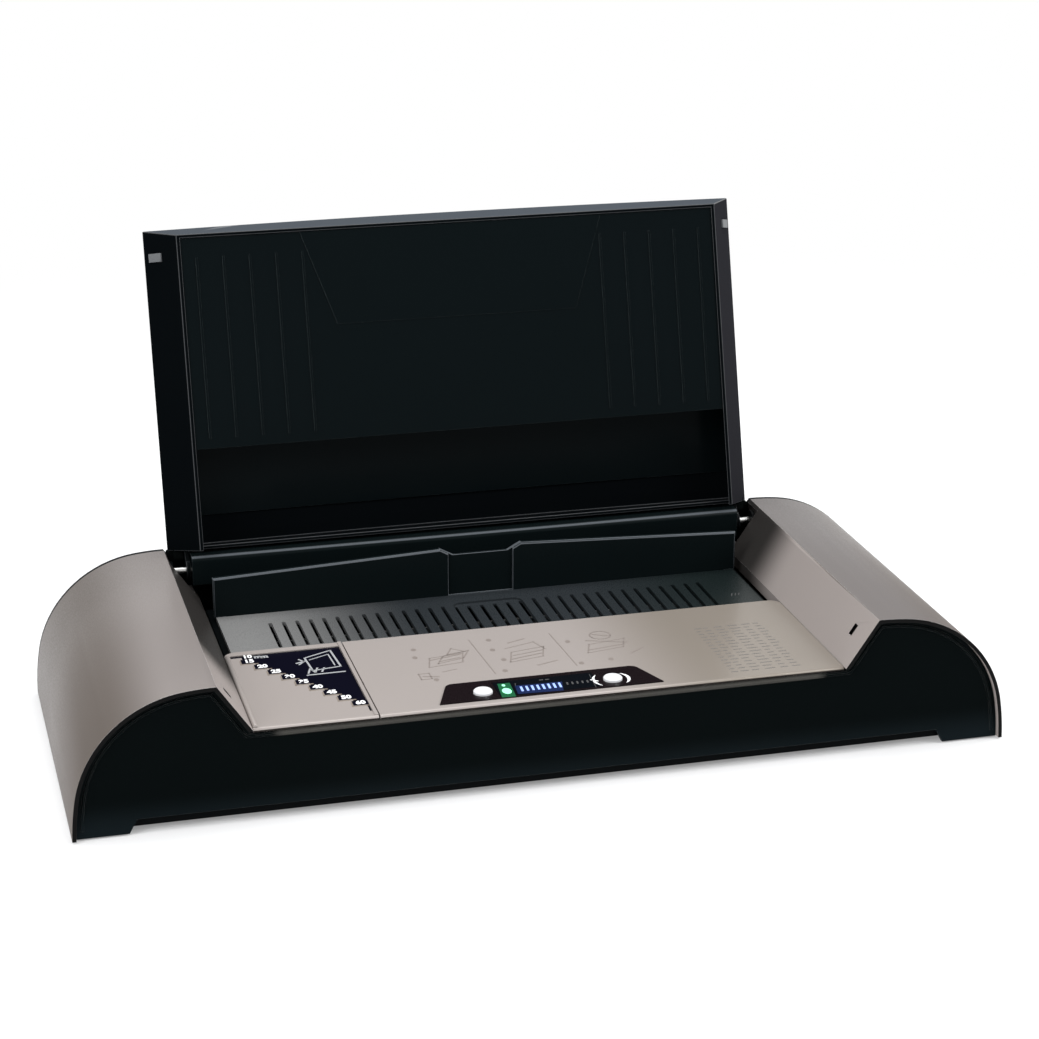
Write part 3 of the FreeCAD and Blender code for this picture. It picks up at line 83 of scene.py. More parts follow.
def noise(tree, vector, scale, detail=4.0, rough=0.5):
    """A noise value over a vector."""
    node = tree.nodes.new("ShaderNodeTexNoise")
    node.inputs["Scale"].default_value = scale
    node.inputs["Detail"].default_value = detail
    node.inputs["Roughness"].default_value = rough
    tree.links.new(vector, node.inputs["Vector"])
    return node.outputs["Fac"]


def ranged(tree, value, low, high, source=(0.3, 0.7)):
    """A value mapped from one range to another, and held at its ends."""
    node = tree.nodes.new("ShaderNodeMapRange")
    node.interpolation_type = "SMOOTHSTEP"
    node.inputs["From Min"].default_value = source[0]
    node.inputs["From Max"].default_value = source[1]
    node.inputs["To Min"].default_value = low
    node.inputs["To Max"].default_value = high
    tree.links.new(value, node.inputs["Value"])
    return node.outputs["Result"]


def mixed(tree, value, first, second):
    """A colour between two colours or colour outputs, by a value."""
    node = tree.nodes.new("ShaderNodeMix")
    node.data_type = "RGBA"
    tree.links.new(value, node.inputs["Factor"])
    for socket, colour in (("A", first), ("B", second)):
        if isinstance(colour, tuple):
            node.inputs[socket].default_value = (*colour, 1)
        else:
            tree.links.new(colour, node.inputs[socket])
    return node.outputs["Result"]


def bump(tree, shader, value, strength, distance):
    """Small relief from a value."""
    node = tree.nodes.new("ShaderNodeBump")
    node.inputs["Strength"].default_value = strength
    node.inputs["Distance"].default_value = distance
    tree.links.new(value, node.inputs["Height"])
    tree.links.new(node.outputs["Normal"], shader.inputs["Normal"])


def shades(colour, spread):
    """A colour a little darker and a little lighter."""
    return tuple(c * (1 - spread) for c in colour), tuple(min(1, c * (1 + spread)) for c in colour)


def finish(name, colour, rough, metallic=0.0, specular=0.22, coat=0.0, coat_rough=0.05, spread=0.06,
           rough_spread=0.05, grain=(400.0, 400.0, 400.0), relief=0.05, depth=0.00003, drift=None):
    """A surface finish: colour and roughness vary a little, with a fine grain.

    A drift is an axis, its two ends in metres and the colour at the second end.
    """
    made, tree, shader, coord = material(name)
    broad = noise(tree, scaled(tree, coord, (1, 1, 1)), BROAD_SCALE)
    fine = noise(tree, scaled(tree, coord, grain), GRAIN_SCALE, GRAIN_DETAIL)
    tint = mixed(tree, broad, *shades(colour, spread))
    if drift:
        axis, ends, far = drift
        split = tree.nodes.new("ShaderNodeSeparateXYZ")
        tree.links.new(coord.outputs["Object"], split.inputs["Vector"])
        tint = mixed(tree, ranged(tree, split.outputs[axis], 0.0, 1.0, ends), tint,
                     mixed(tree, broad, *shades(far, spread)))
    tree.links.new(tint, shader.inputs["Base Color"])
    tree.links.new(ranged(tree, fine, rough - rough_spread, rough + rough_spread),
                   shader.inputs["Roughness"])
    shader.inputs["Metallic"].default_value = metallic
    shader.inputs["Specular IOR Level"].default_value = specular
    shader.inputs["Coat Weight"].default_value = coat
    shader.inputs["Coat Roughness"].default_value = coat_rough
    if relief > 0:
        bump(tree, shader, fine, relief, depth)
    return made


def glow(name, colour, strength):
    """A lit legend: a glossy cover over a weak light."""
    made = finish(name, colour, 0.3, relief=0.0)
    shader = made.node_tree.nodes["Principled BSDF"]
    shader.inputs["Emission Color"].default_value = (*colour, 1)
    shader.inputs["Emission Strength"].default_value = strength
    return made


def part_of(made, output, axis):
    """One axis of the object coordinates or of the object normal, in a finish's tree."""
    tree = made.node_tree
    coord = next(node for node in tree.nodes if node.type == "TEX_COORD")
    split = tree.nodes.new("ShaderNodeSeparateXYZ")
    tree.links.new(coord.outputs[output], split.inputs["Vector"])
    return split.outputs[axis]


def combined(made, operation, first, second):
    """Two values joined by an operation, in a finish's tree."""
    node = made.node_tree.nodes.new("ShaderNodeMath")
    node.operation = operation
    for socket, value in zip(node.inputs, (first, second)):
        if isinstance(value, float):
            socket.default_value = value
        else:
            made.node_tree.links.new(value, socket)
    return node.outputs["Value"]


def covered(made, share, colour, plain=False):
    """A finish takes another colour where a share is one; a plain one loses its metal and its coat there."""
    tree = made.node_tree
    shader = tree.nodes["Principled BSDF"]
    tint = shader.inputs["Base Color"].links[0].from_socket
    tree.links.new(mixed(tree, share, tint, colour), shader.inputs["Base Color"])
    if plain:
        for name in ("Metallic", "Coat Weight"):
            level = shader.inputs[name].default_value
            if level > 0:
                tree.links.new(ranged(tree, share, level, 0.0, (0.0, 1.0)), shader.inputs[name])


def above(made, value, ends):
    """One where a value is past both ends and zero where it is short of both, in a soft step."""
    return ranged(made.node_tree, value, 0.0, 1.0, ends)


def below(made, value, ends):
    """Zero where a value is past both ends and one where it is short of both, in a soft step."""
    return ranged(made.node_tree, value, 1.0, 0.0, ends)


def product(made, first, second):
    """Two values multiplied, or where both of two shares are one."""
    return combined(made, "MULTIPLY", first, second)


# Where a finish changes, and where its painted light, shade and highlights begin and end, as the two ends of
# a soft step: places in metres, or parts of the surface's normal
FRONT_FACES = (-0.985, -0.93)
INWARD = (-0.11, -0.08)
SLOPE_DIM = (-0.027, 0.018)
SHOULDER_BEND = (0.12, 0.64)
SHOULDER_SIDE = (0.82, 1.0)
EDGE_TURNED = (0.10, 0.35)
DECK_FRONT = (0.0538, 0.0545)
SHELF_FAR = (0.04, 0.15)
GUARD_ROUND = (0.55, 0.72)
GUARD_TOP = (0.88, 0.98)
BAND_FOOT = (0.0482, 0.0488)
BAND_END = (0.150, 0.158)
RIM_PLANE = (-0.0642, -0.0633)
RIM_TOP = (0.255, 0.262)
END_FACE = (0.80, 0.95)
LID_SIDES = (0.5, 0.7)
LID_BACK = (0.2, 0.6)

# How strong some of these are (the painted shoulder reflection, the painted slope shade and the lid's back
# gloss), how far the painted dim end of a slope slants, and the open lid's rim direction for its painted rim
# highlight
SHOULDER_SHARE = 0.75
SLOPE_SHARE = 0.96
SLOPE_SKEW = -0.25
LID_BACK_GLOSS = 0.14
RIM_LOOK = (-0.9705, 0.2412)


def shell_paint_and_painted_light():
    """Champagne, with painted light: the right shell darker as painted shade, a painted dark reflection
    round the shoulder, painted light on the slopes and painted shade at their rear, black in front.
    """
    # The drift paints the right shell darker, as painted shade
    made = finish("champagne_shell", (0.222, 0.200, 0.190), 0.36, metallic=0.135, specular=0.05, coat=0.02,
                  coat_rough=0.2, spread=0.03, grain=(500, 60, 500), relief=0.01,
                  drift=("X", (-0.02, 0.12), (0.154, 0.141, 0.136)))
    # Painted dark reflection round the shoulder, a little weaker on the full outer side
    turned = combined(made, "ABSOLUTE", part_of(made, "Normal", "X"), 0.0)
    side = ranged(made.node_tree, turned, 1.0, SHOULDER_SHARE, SHOULDER_SIDE)
    covered(made, product(made, above(made, turned, SHOULDER_BEND), side), (0.121, 0.103, 0.091))
    # Painted light on the slopes that face inward
    inward = below(made, product(made, part_of(made, "Object", "X"), part_of(made, "Normal", "X")), INWARD)
    covered(made, inward, (0.356, 0.317, 0.299))
    # Painted shade at the slopes' rear, on a slanted line
    skewed = combined(made, "ADD", part_of(made, "Object", "Y"),
                      product(made, part_of(made, "Object", "X"), SLOPE_SKEW))
    dim = ranged(made.node_tree, skewed, 0.0, SLOPE_SHARE, SLOPE_DIM)
    covered(made, product(made, inward, dim), (0.0174, 0.0165, 0.0156))
    covered(made, below(made, part_of(made, "Normal", "Y"), FRONT_FACES), (0.004, 0.004, 0.004), plain=True)
    return made


def shell_edge_painted_highlight():
    """The shells' edge, a painted highlight where it faces up, which turns dark where it faces sideways or
    down.
    """
    made = finish("champagne_edge_highlight", (0.625, 0.607, 0.590), 0.30, metallic=0.135, spread=0.03, relief=0.0)
    covered(made, below(made, part_of(made, "Normal", "Z"), EDGE_TURNED), (0.012, 0.012, 0.012), plain=True)
    return made


def deck_finish_and_painted_reflection():
    """The deck's smoother champagne, darker to the right as a painted reflection, with dark front faces
    under its rolled edge.
    """
    # The drift to the right is a painted reflection
    made = finish("champagne_deck", (0.366, 0.330, 0.310), 0.24, metallic=0.10, specular=0.12, coat=0.08,
                  coat_rough=0.06, spread=0.025, rough_spread=0.02, grain=(60, 500, 500), relief=0.0,
                  drift=("X", (0.02, 0.10), (0.234, 0.206, 0.176)))
    front = product(made, below(made, part_of(made, "Normal", "Y"), FRONT_FACES),
                    below(made, part_of(made, "Object", "Z"), DECK_FRONT))
    covered(made, front, (0.012, 0.009, 0.007), plain=True)
    return made


def shelf_finish_and_painted_reflection():
    """The cooling shelf's grey, which darkens to the right as a painted dark reflection."""
    # Both the drift and the far cover are a painted dark reflection
    made = finish("shelf_grey", (0.272, 0.272, 0.268), 0.30, metallic=0.203, coat=0.023, coat_rough=0.10,
                  spread=0.06, drift=("X", (-0.17, -0.04), (0.027, 0.032, 0.036)))
    covered(made, above(made, part_of(made, "Object", "X"), SHELF_FAR), (0.0096, 0.0152, 0.0152))
    return made


def guard_finish_and_painted_highlight():
    """The guards' black, with a painted highlight line round their upper edge."""
    made = finish("guard_black", (0.0040, 0.0068, 0.0074), 0.30, specular=0.036, relief=0.06, depth=0.00003)
    # Painted highlight on the rounded upper edge
    up = part_of(made, "Normal", "Z")
    line = product(made, above(made, up, GUARD_ROUND), below(made, up, GUARD_TOP))
    covered(made, line, (0.085, 0.095, 0.105))
    return made


def front_finish_and_painted_reflections():
    """The front panel's black, a little lighter at its foot as a painted reflection of the floor, with a
    pale band under the deck's edge as a painted reflection of the deck.
    """
    # The drift is a painted reflection of the floor at the foot
    made = finish("black_front", (0.0015, 0.0028, 0.0030), 0.28, specular=0.014, relief=0.04, depth=0.00002,
                  drift=("Z", (0.022, 0.0), (0.007, 0.011, 0.013)))
    # Painted reflection of the deck, a pale band under its edge
    middle = below(made, combined(made, "ABSOLUTE", part_of(made, "Object", "X"), 0.0), BAND_END)
    covered(made, product(made, above(made, part_of(made, "Object", "Z"), BAND_FOOT), middle),
            (0.052, 0.050, 0.045))
    return made


def lid_finish_and_painted_light():
    """The lid's black, with painted highlights on its rim and on top of its end face, painted light where it
    faces right, glossy behind.
    """
    made = finish("lid_black", (0.0022, 0.0030, 0.0036), 0.32, specular=0.0, relief=0.05)
    tree = made.node_tree
    # Painted highlight on the rim, high up
    level = combined(made, "ADD", product(made, part_of(made, "Object", "Y"), RIM_LOOK[0]),
                     product(made, part_of(made, "Object", "Z"), RIM_LOOK[1]))
    high = above(made, part_of(made, "Object", "Z"), RIM_TOP)
    covered(made, product(made, above(made, level, RIM_PLANE), high), (0.070, 0.080, 0.092))
    # Painted highlight on top of the end face
    end = above(made, part_of(made, "Normal", "Z"), END_FACE)
    covered(made, product(made, end, high), (0.064, 0.073, 0.084))
    gloss = ranged(tree, part_of(made, "Normal", "Y"), 0.0, LID_BACK_GLOSS, LID_BACK)
    tree.links.new(gloss, tree.nodes["Principled BSDF"].inputs["Specular IOR Level"])
    # Painted light where the lid faces right
    covered(made, above(made, part_of(made, "Normal", "X"), LID_SIDES), (0.019, 0.019, 0.022))
    return made


# Painted and metal finishes, some with painted light, shade and reflections
champagne = shell_paint_and_painted_light()
champagne_edge_highlight = shell_edge_painted_highlight()
deck_paint_and_painted_reflection = deck_finish_and_painted_reflection()
# The deck's edge is lighter as a painted highlight, beside its real metal sheen
deck_edge_highlight = finish("deck_edge_highlight", (0.453, 0.42, 0.395), 0.26, metallic=0.18, spread=0.03, relief=0.0)
shelf_grey = shelf_finish_and_painted_reflection()

# Black and dark plastics, with lighter colours for edges, ridge and ribs as painted highlights
black = finish("black_plastic", (0.0030, 0.0038, 0.0042), 0.34, specular=0.027, relief=0.10, depth=0.00004)
guard_black = guard_finish_and_painted_highlight()
black_front = front_finish_and_painted_reflections()
# Lighter black for edges: partly real gloss, partly a painted highlight
edge_black_highlight = finish("edge_black_highlight", (0.035, 0.038, 0.041), 0.30, specular=0.27, spread=0.10, relief=0.0)
# Painted highlight on the front panel's ridge
ridge_highlight = finish("ridge_highlight", (0.105, 0.108, 0.105), 0.30, specular=0.225, spread=0.10, relief=0.0)
lid_black = lid_finish_and_painted_light()
# Painted highlight on the lid panel's ribs
rib_highlight = finish("rib_highlight", (0.080, 0.096, 0.100), 0.35, specular=0.18, spread=0.10, relief=0.0)
# Painted highlight on the guards' edges
guard_edge_highlight = finish("guard_edge_highlight", (0.085, 0.095, 0.105), 0.30, specular=0.225, spread=0.10, relief=0.0)
smoked = finish("lid_smoked", (0.0024, 0.0045, 0.0052), 0.20, specular=0.027, relief=0.02)
label_black = finish("label_black", (0.003, 0.003, 0.008), 0.35, specular=0.027, relief=0.0)
panel_black = finish("panel_black", (0.009, 0.006, 0.007), 0.25, specular=0.054, relief=0.0)
window_black = finish("window_black", (0.004, 0.005, 0.007), 0.15, specular=0.068, relief=0.0)
button_white = finish("button_white", (0.74, 0.74, 0.75), 0.32, specular=0.225, coat=0.135, spread=0.02,
                      relief=0.0)
rocker_black = finish("rocker_black", (0.010, 0.010, 0.010), 0.3, specular=0.135)
latch_grey = finish("latch_grey", (0.12, 0.125, 0.13), 0.35, specular=0.18)
rubber = finish("foot_rubber", (0.012, 0.012, 0.012), 0.75, specular=0.09, relief=0.2)

# Small parts and what is inside
steel = finish("pin_steel", (0.50, 0.50, 0.49), 0.30, metallic=1.0, spread=0.04, grain=(60, 500, 500))
zinc = finish("zinc_sheet", (0.40, 0.41, 0.42), 0.42, metallic=1.0, spread=0.15)
aluminium = finish("heater_aluminium", (0.62, 0.62, 0.62), 0.36, metallic=1.0, spread=0.04,
                   grain=(60, 500, 500))
ceramic = finish("heater_ceramic", (0.70, 0.68, 0.64), 0.7, specular=0.135)
board_green = finish("circuit_board", (0.02, 0.10, 0.045), 0.35, coat=0.135)
component = finish("component", (0.03, 0.03, 0.032), 0.45)
hinge_black = finish("hinge_black", (0.004, 0.005, 0.005), 0.6, specular=0.0)

# Prints and lights
gauge_shade = finish("gauge_shade", (0.22, 0.185, 0.155), 0.5, specular=0.09, relief=0.0)
print_white = finish("print_white", (0.88, 0.88, 0.88), 0.5, specular=0.135, relief=0.0)
print_silver = finish("print_silver", (0.36, 0.37, 0.38), 0.5, specular=0.135, relief=0.0)
print_dim = finish("print_dim", (0.075, 0.075, 0.075), 0.5, specular=0.09, relief=0.0)
print_grey = finish("print_grey", (0.151, 0.141, 0.132), 0.45, metallic=0.09, specular=0.135, relief=0.0)
print_taupe = finish("print_taupe", (0.237, 0.205, 0.187), 0.45, metallic=0.09, specular=0.135, relief=0.0)
green_light = glow("green_light", (0.30, 0.85, 0.50), 0.75)
green_zone = glow("green_zone", (0.010, 0.085, 0.035), 0.35)
blue_light = glow("blue_light", (0.30, 0.42, 0.85), 0.55)
blue_zone = glow("blue_zone", (0.008, 0.016, 0.060), 0.25)

# Which nodes carry which finish
FEET = tuple(name for name in nodes if name.startswith("rubber_foot"))
COATS = {
    champagne: ("side_shell_left", "side_shell_right"),
    deck_paint_and_painted_reflection: ("deck_plate", "gauge_plate"),
    shelf_grey: ("cooling_shelf",),
    guard_black: ("slot_front_guard", "rear_guard"),
    black: ("rear_panel", "base_tray", "mains_inlet", "switch_housing", "hinge_bracket_left",
            "hinge_bracket_right", "carriage_rail_left", "carriage_rail_right", "lid_arm_left",
            "lid_arm_right"),
    black_front: ("front_panel",),
    lid_black: ("lid_cover",),
    smoked: ("lid_inner_panel",),
    label_black: ("gauge_label",),
    panel_black: ("control_panel",),
    window_black: ("display_window",),
    button_white: ("select_button", "start_button"),
    rocker_black: ("power_rocker",),
    latch_grey: ("lid_latch_left", "lid_latch_right"),
    steel: ("hinge_pin_left", "hinge_pin_right", "inlet_pins", "base_screws", "rear_screws"),
    zinc: ("heat_shield", "deck_support", "power_board_posts", "board_spacers"),
    aluminium: ("heater_plate",),
    ceramic: ("heater_supports", "heating_elements", "thermostat", "thermal_fuse"),
    board_green: ("control_board", "power_board"),
    component: ("button_switches", "transformer", "relay"),
    rubber: FEET,
}
for coat, names in COATS.items():
    for name in names:
        mesh = nodes[name].data
        mesh.materials.clear()
        mesh.materials.append(coat)

# Softened edges on the solids that show, with the width in millimetres and the edge's finish, which on the
# shells, deck, lid, guards, ribs and front panel is lighter as a painted highlight
EDGES = (
    (0.45, champagne_edge_highlight, ("side_shell_left", "side_shell_right")),
    (0.2, deck_edge_highlight, ("deck_plate", "gauge_plate")),
    (0.45, edge_black_highlight, ("lid_cover",)),
    (0.55, guard_edge_highlight, ("rear_guard", "slot_front_guard")),
    (0.4, rib_highlight, ("lid_inner_panel",)),
    (0.4, ridge_highlight, ("front_panel",)),
    (0.3, edge_black_highlight, ("lid_arm_left", "lid_arm_right")),
    (0.5, black, ("rear_panel",)),
    (0.3, black, ("mains_inlet", "switch_housing", "base_tray", "hinge_bracket_left",
                  "hinge_bracket_right")),
    (0.2, panel_black, ("control_panel",)),
    (0.2, button_white, ("select_button", "start_button")),
    (0.3, rocker_black, ("power_rocker",)),
    (0.3, latch_grey, ("lid_latch_left", "lid_latch_right")),
    (0.3, steel, ("base_screws", "rear_screws", "hinge_pin_left", "hinge_pin_right")),
    (0.6, rubber, FEET),
)
EDGE_TURN = math.radians(28)
WELD = 0.000002
for width, coat, names in EDGES:
    for name in names:
        nodes[name].data.materials.append(coat)
        weld = nodes[name].modifiers.new("weld", "WELD")
        weld.merge_threshold = WELD
        soft = nodes[name].modifiers.new("soft_edges", "BEVEL")
        soft.width = width * MM
        soft.segments = 2
        soft.limit_method = "ANGLE"
        soft.angle_limit = EDGE_TURN
        soft.harden_normals = True
        soft.material = 1


# Prints and lights on the deck, the gauge and the control panel
CRESCENT_FULLNESS = 0.7
CRESCENT_TIP = 0.05


def stroke(points, width, closes=False):
    """A drawn line as one quad per stretch."""
    if closes:
        points = points + points[:1]
    quads = []
    for (x0, y0), (x1, y1) in zip(points, points[1:]):
        length = math.hypot(x1 - x0, y1 - y0)
        dx, dy = (x1 - x0) / length * width / 2, (y1 - y0) / length * width / 2
        quads.append([(x0 - dx + dy, y0 - dy - dx), (x1 + dx + dy, y1 + dy - dx),
                      (x1 + dx - dy, y1 + dy + dx), (x0 - dx - dy, y0 - dy + dx)])
    return quads


def ellipse(x, y, half_x, half_y, count=20):
    """A filled ellipse."""
    return [(x + half_x * math.cos(2 * math.pi * i / count), y + half_y * math.sin(2 * math.pi * i / count))
            for i in range(count)]


def ring(x, y, radius, width, start=0.0, end=360.0, count=16):
    """A thin arc round a point, between two angles in degrees."""
    turns = [math.radians(start + (end - start) * i / count) for i in range(count + 1)]
    points = [(x + radius * math.cos(t), y + radius * math.sin(t)) for t in turns]
    return stroke(points, width)


def crescent(x, y, radius, start, end, thick, count=14):
    """A filled arc that is thickest in its middle."""
    outer, inner = [], []
    for i in range(count + 1):
        turn = math.radians(start + (end - start) * i / count)
        swell = thick * math.sin(math.pi * i / count) ** CRESCENT_FULLNESS / 2
        far = radius + swell + CRESCENT_TIP
        outer.append((x + far * math.cos(turn), y + far * math.sin(turn)))
        inner.append((x + (radius - swell) * math.cos(turn), y + (radius - swell) * math.sin(turn)))
    return outer + inner[::-1]


def place_print(name, coat, mesh, body):
    """Links a print's mesh and lets it ride on a body."""
    mesh.materials.append(coat)
    made = bpy.data.objects.new(name, mesh)
    bpy.context.scene.collection.objects.link(made)
    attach(made, body)
    return made


def printed(name, coat, shapes, z, body="base", thick=PRINT_THICK):
    """A thin plate for a print, also used for painted shade: each flat outline, in deck-frame millimetres,
    as a plate on the surface at a height.
    """
    bm = bmesh.new()
    for shape in shapes:
        low = [bm.verts.new(deck(x, y, z)) for x, y in shape]
        high = [bm.verts.new(deck(x, y, z + thick)) for x, y in shape]
        bm.faces.new(high)
        bm.faces.new(low[::-1])
        for i in range(len(shape)):
            j = (i + 1) % len(shape)
            bm.faces.new((low[i], low[j], high[j], high[i]))
    bmesh.ops.recalc_face_normals(bm, faces=bm.faces)
    mesh = bpy.data.meshes.new(name)
    bm.to_mesh(mesh)
    bm.free()
    return place_print(name, coat, mesh, body)


def numbers(name, coat, words, z):
    """Printed digits on the base: each word with its middle, its height and its stretch across."""
    bm = bmesh.new()
    for word, x, y, high, stretch in words:
        curve = bpy.data.curves.new(name + "_text", "FONT")
        curve.body = word
        curve.align_x = "CENTER"
        curve.align_y = "CENTER"
        curve.extrude = PRINT_THICK / 2
        curve.offset = DIGIT_SWELL
        curve.size = 1.0
        holder = bpy.data.objects.new(name + "_text", curve)
        bpy.context.scene.collection.objects.link(holder)
        bpy.context.view_layer.update()
        flat = bpy.data.meshes.new_from_object(holder)
        size = high / max(vertex.co.y for vertex in flat.vertices) / 2
        for vertex in flat.vertices:
            vertex.co = deck(x + vertex.co.x * size * stretch, y + vertex.co.y * size,
                             z + PRINT_THICK / 2 + vertex.co.z)
        bm.from_mesh(flat)
        bpy.data.objects.remove(holder)
        bpy.data.curves.remove(curve)
        bpy.data.meshes.remove(flat)
    mesh = bpy.data.meshes.new(name)
    bm.to_mesh(mesh)
    bm.free()
    return place_print(name, coat, mesh, "base")


# Thickness gauge: a pair of digits in the corner of each step, and a small drawing of its use
LABEL_Z = 55.4
STAIR_X = -163.7
STAIR_RUN = 6.15
STAIR_Y = -3.5
STAIR_RISE = 9.1
DIGITS = ("10", "15", "20", "25", "30", "35", "40", "45", "50", "60")
FIRST_DIGIT = (1.55, 0.7, 5.4)
DIGIT_PLACE = (3.4, 3.2)
DIGIT_HIGH = 5.6
DIGIT_STRETCH = 0.86
UNIT = (("m", -148.2, -2.6, 2.4, 1.0), ("m", -144.6, -3.2, 2.4, 1.0))
SHADE_THICK = 0.02
BACK_THICK = 0.03

# Drawn lines here and below: each with its width, whether it closes, and its points
GAUGE_LINES = (
    (1.1, True, ((-122.9, -11.2), (-106.8, -3.6), (-105.3, -28.0), (-121.6, -30.4))),
    (0.8, False, ((-120.6, -14.6), (-109.0, -9.0), (-108.2, -25.6))),
    (1.4, False, ((-128.4, -17.8), (-123.4, -15.8))),
    (1.0, False, ((-126.4, -12.6), (-124.2, -16.4), (-127.4, -20.0))),
    (1.3, False, ((-125.5, -36.2), (-104.6, -35.9))),
    (1.1, False, ((-124.6, -33.6), (-122.6, -27.2), (-120.6, -33.2), (-118.6, -27.4))),
    (1.1, False, ((-116.8, -33.0), (-114.8, -28.0))),
)


def drawn(lines):
    """The shapes of a table of drawn lines."""
    shapes = []
    for width, closes, points in lines:
        shapes += stroke(points, width, closes)
    return shapes


def gauge_prints():
    """The gauge's digits on their dark backs, its small marks, the painted shade along each step and its
    drawing.
    """
    run, rise, high = FIRST_DIGIT
    words = [(DIGITS[0], STAIR_X + run * STAIR_RUN, STAIR_Y + rise, high, DIGIT_STRETCH)]
    backs, shade = [], []
    for step, word in enumerate(DIGITS[1:], 1):
        x, y = STAIR_X + step * STAIR_RUN + DIGIT_PLACE[0], STAIR_Y - step * STAIR_RISE + DIGIT_PLACE[1]
        words.append((word, x, y, DIGIT_HIGH, DIGIT_STRETCH))
        backs.append([(x - 4.5, y - 3.4), (x + 4.5, y - 3.4), (x + 4.5, y + 3.0), (x - 4.5, y + 3.0)])
        # Painted shade along the lower and left edge of each step
        shade += stroke([(x - 5.0, y - 4.3), (x + 4.2, y - 4.3)], 1.1)
        shade += stroke([(x - 5.0, y - 4.3), (x - 5.0, y + 1.0)], 0.8)
    printed("gauge_shade", gauge_shade, shade, DECK_Z, thick=SHADE_THICK)
    printed("gauge_steps", label_black, backs, DECK_Z, thick=BACK_THICK)
    numbers("gauge_digits", print_white, words, DECK_Z + BACK_THICK)
    numbers("gauge_unit", print_silver, UNIT, LABEL_Z)
    printed("gauge_drawing", print_silver, drawn(GAUGE_LINES), LABEL_Z)


# Control panel: lights, zones and symbols
PANEL_Z = 56.6
BUTTON_Y = -87.0
BUTTONS = (-37.8, 36.2)
GREEN_ZONE = [(-27.4, -77.6), (-20.4, -77.9), (-21.6, -97.0), (-29.4, -96.4)]
BLUE_ZONE = [(-18.8, -82.6), (8.0, -83.4), (5.6, -95.6), (-19.8, -94.0)]
SEGMENTS = (8, -16.3, 3.1)
TICKS = (5, 10.0, 2.9)
PANEL_LINES = (
    (1.0, False, ((-3.2, -78.4), (-1.9, -78.4))),
    (1.0, False, ((0.2, -78.4), (1.5, -78.4))),
    (0.35, False, ((-17.6, -79.2), (-18.9, -86.0))),
    (0.35, False, ((25.4, -77.6), (24.0, -96.0))),
)


def bars(row, left, right, lean, front, rear):
    """A row of leaning bars: their count, first place and pitch, then each one's sides and ends."""
    count, start, pitch = row
    places = [start + index * pitch for index in range(count)]
    return [[(x + left, front), (x + right, front), (x + right + lean, rear), (x + left + lean, rear)]
            for x in places]


def panel_prints():
    """The lit and printed legends on the control panel."""
    printed("green_zone", green_zone, [GREEN_ZONE], PANEL_Z)
    lights = [ellipse(-24.7, -88.6, 2.6, 4.0), ellipse(-24.6, -80.6, 1.0, 1.5)]
    printed("green_lights", green_light, lights, PANEL_Z + PRINT_THICK)
    printed("blue_zone", blue_zone, [BLUE_ZONE], PANEL_Z)
    segments = bars(SEGMENTS, -0.6, 0.7, 0.4, -91.0, -84.6)
    printed("blue_segments", blue_light, segments, PANEL_Z + PRINT_THICK)
    marks = bars(TICKS, -0.5, 0.5, 0.3, -88.4, -85.2) + drawn(PANEL_LINES)
    for x in BUTTONS:
        marks += ring(x, BUTTON_Y - 8.7, 1.0, 0.45, 120, 420)
        marks += stroke([(x, BUTTON_Y - 8.3), (x, BUTTON_Y - 6.9)], 0.45)
    printed("panel_marks", print_dim, marks, PANEL_Z)
    x = BUTTONS[1]
    arcs = [crescent(x, BUTTON_Y, 9.0, -50, 50, 1.8), crescent(x, BUTTON_Y, 10.8, 136, 224, 1.5)]
    arcs += stroke([(x - 12.0, BUTTON_Y + 1.8), (x - 9.0, BUTTON_Y - 0.6)], 1.0)
    printed("panel_arcs", print_white, arcs, PANEL_Z)


# Deck: faint line drawings in three fields, and a faint table at the right
PAGE_LINE = 0.75
PAGES = ((-58, -44, 20, 13, 3), (-52, -40, 16, 10, 5), (-12, -48, 20, 14, 4), (34, -46, 22, 12, 4))
DECK_LINES = (
    (0.6, False, ((-27.1, -10.0), (-24.3, -62.0))),
    (0.6, False, ((20.3, -12.0), (22.8, -62.0))),
    (1.1, False, ((-55.0, -34.0), (-37.0, -29.5))),
    (0.9, False, ((-50.0, -37.0), (-38.0, -34.0))),
    (0.75, True, ((-40.0, -20.0), (-33.0, -26.0), (-44.0, -28.0))),
    (0.75, True, ((-66, -52), (-60, -52), (-60, -60), (-66, -60))),
    (1.2, False, ((-64, -56), (-56, -58))),
    (0.75, False, ((-52, -52), (-44, -50))),
    (0.75, False, ((-10, -28), (8, -22), (12, -34))),
    (1.1, False, ((-10, -44), (8, -39.5))),
    (0.9, False, ((-8, -39), (10, -35))),
    (1.0, False, ((2, -56), (14, -52))),
    (1.0, False, ((-6, -20), (4, -16))),
    (1.1, False, ((38, -28), (60, -36))),
    (1.0, False, ((36, -42), (58, -38))),
    (1.0, False, ((44, -20), (52, -24))),
    (1.0, False, ((58, -52), (66, -46))),
)
DECK_RING = (48, -22, 6.0)
DOTS = ((-61.0, -16.5), (-62.7, -28.0), (-16.1, -13.1), (-17.4, -27.9), (-14.8, -43.4), (-18.1, -59.2),
        (27.3, -26.7), (26.2, -59.3), (-58, -62), (44, -58))
DOT_HALF = (1.5, 2.1)
DOT_POINTS = 12
TABLE_COLUMNS = ((104.0, 3.4), (109.5, 3.6), (116.0, 5.0), (124.0, 6.0), (133.0, 4.0), (140.0, 4.0))
TABLE_ROWS = 16
TABLE_TOP = -27.0
TABLE_PITCH = 4.4
TABLE_LINE = 1.0
TABLE_THICK = 0.03
TABLE_CUT = 0.6
SHELF_MARKS = (145.2, 147.4, 149.6)
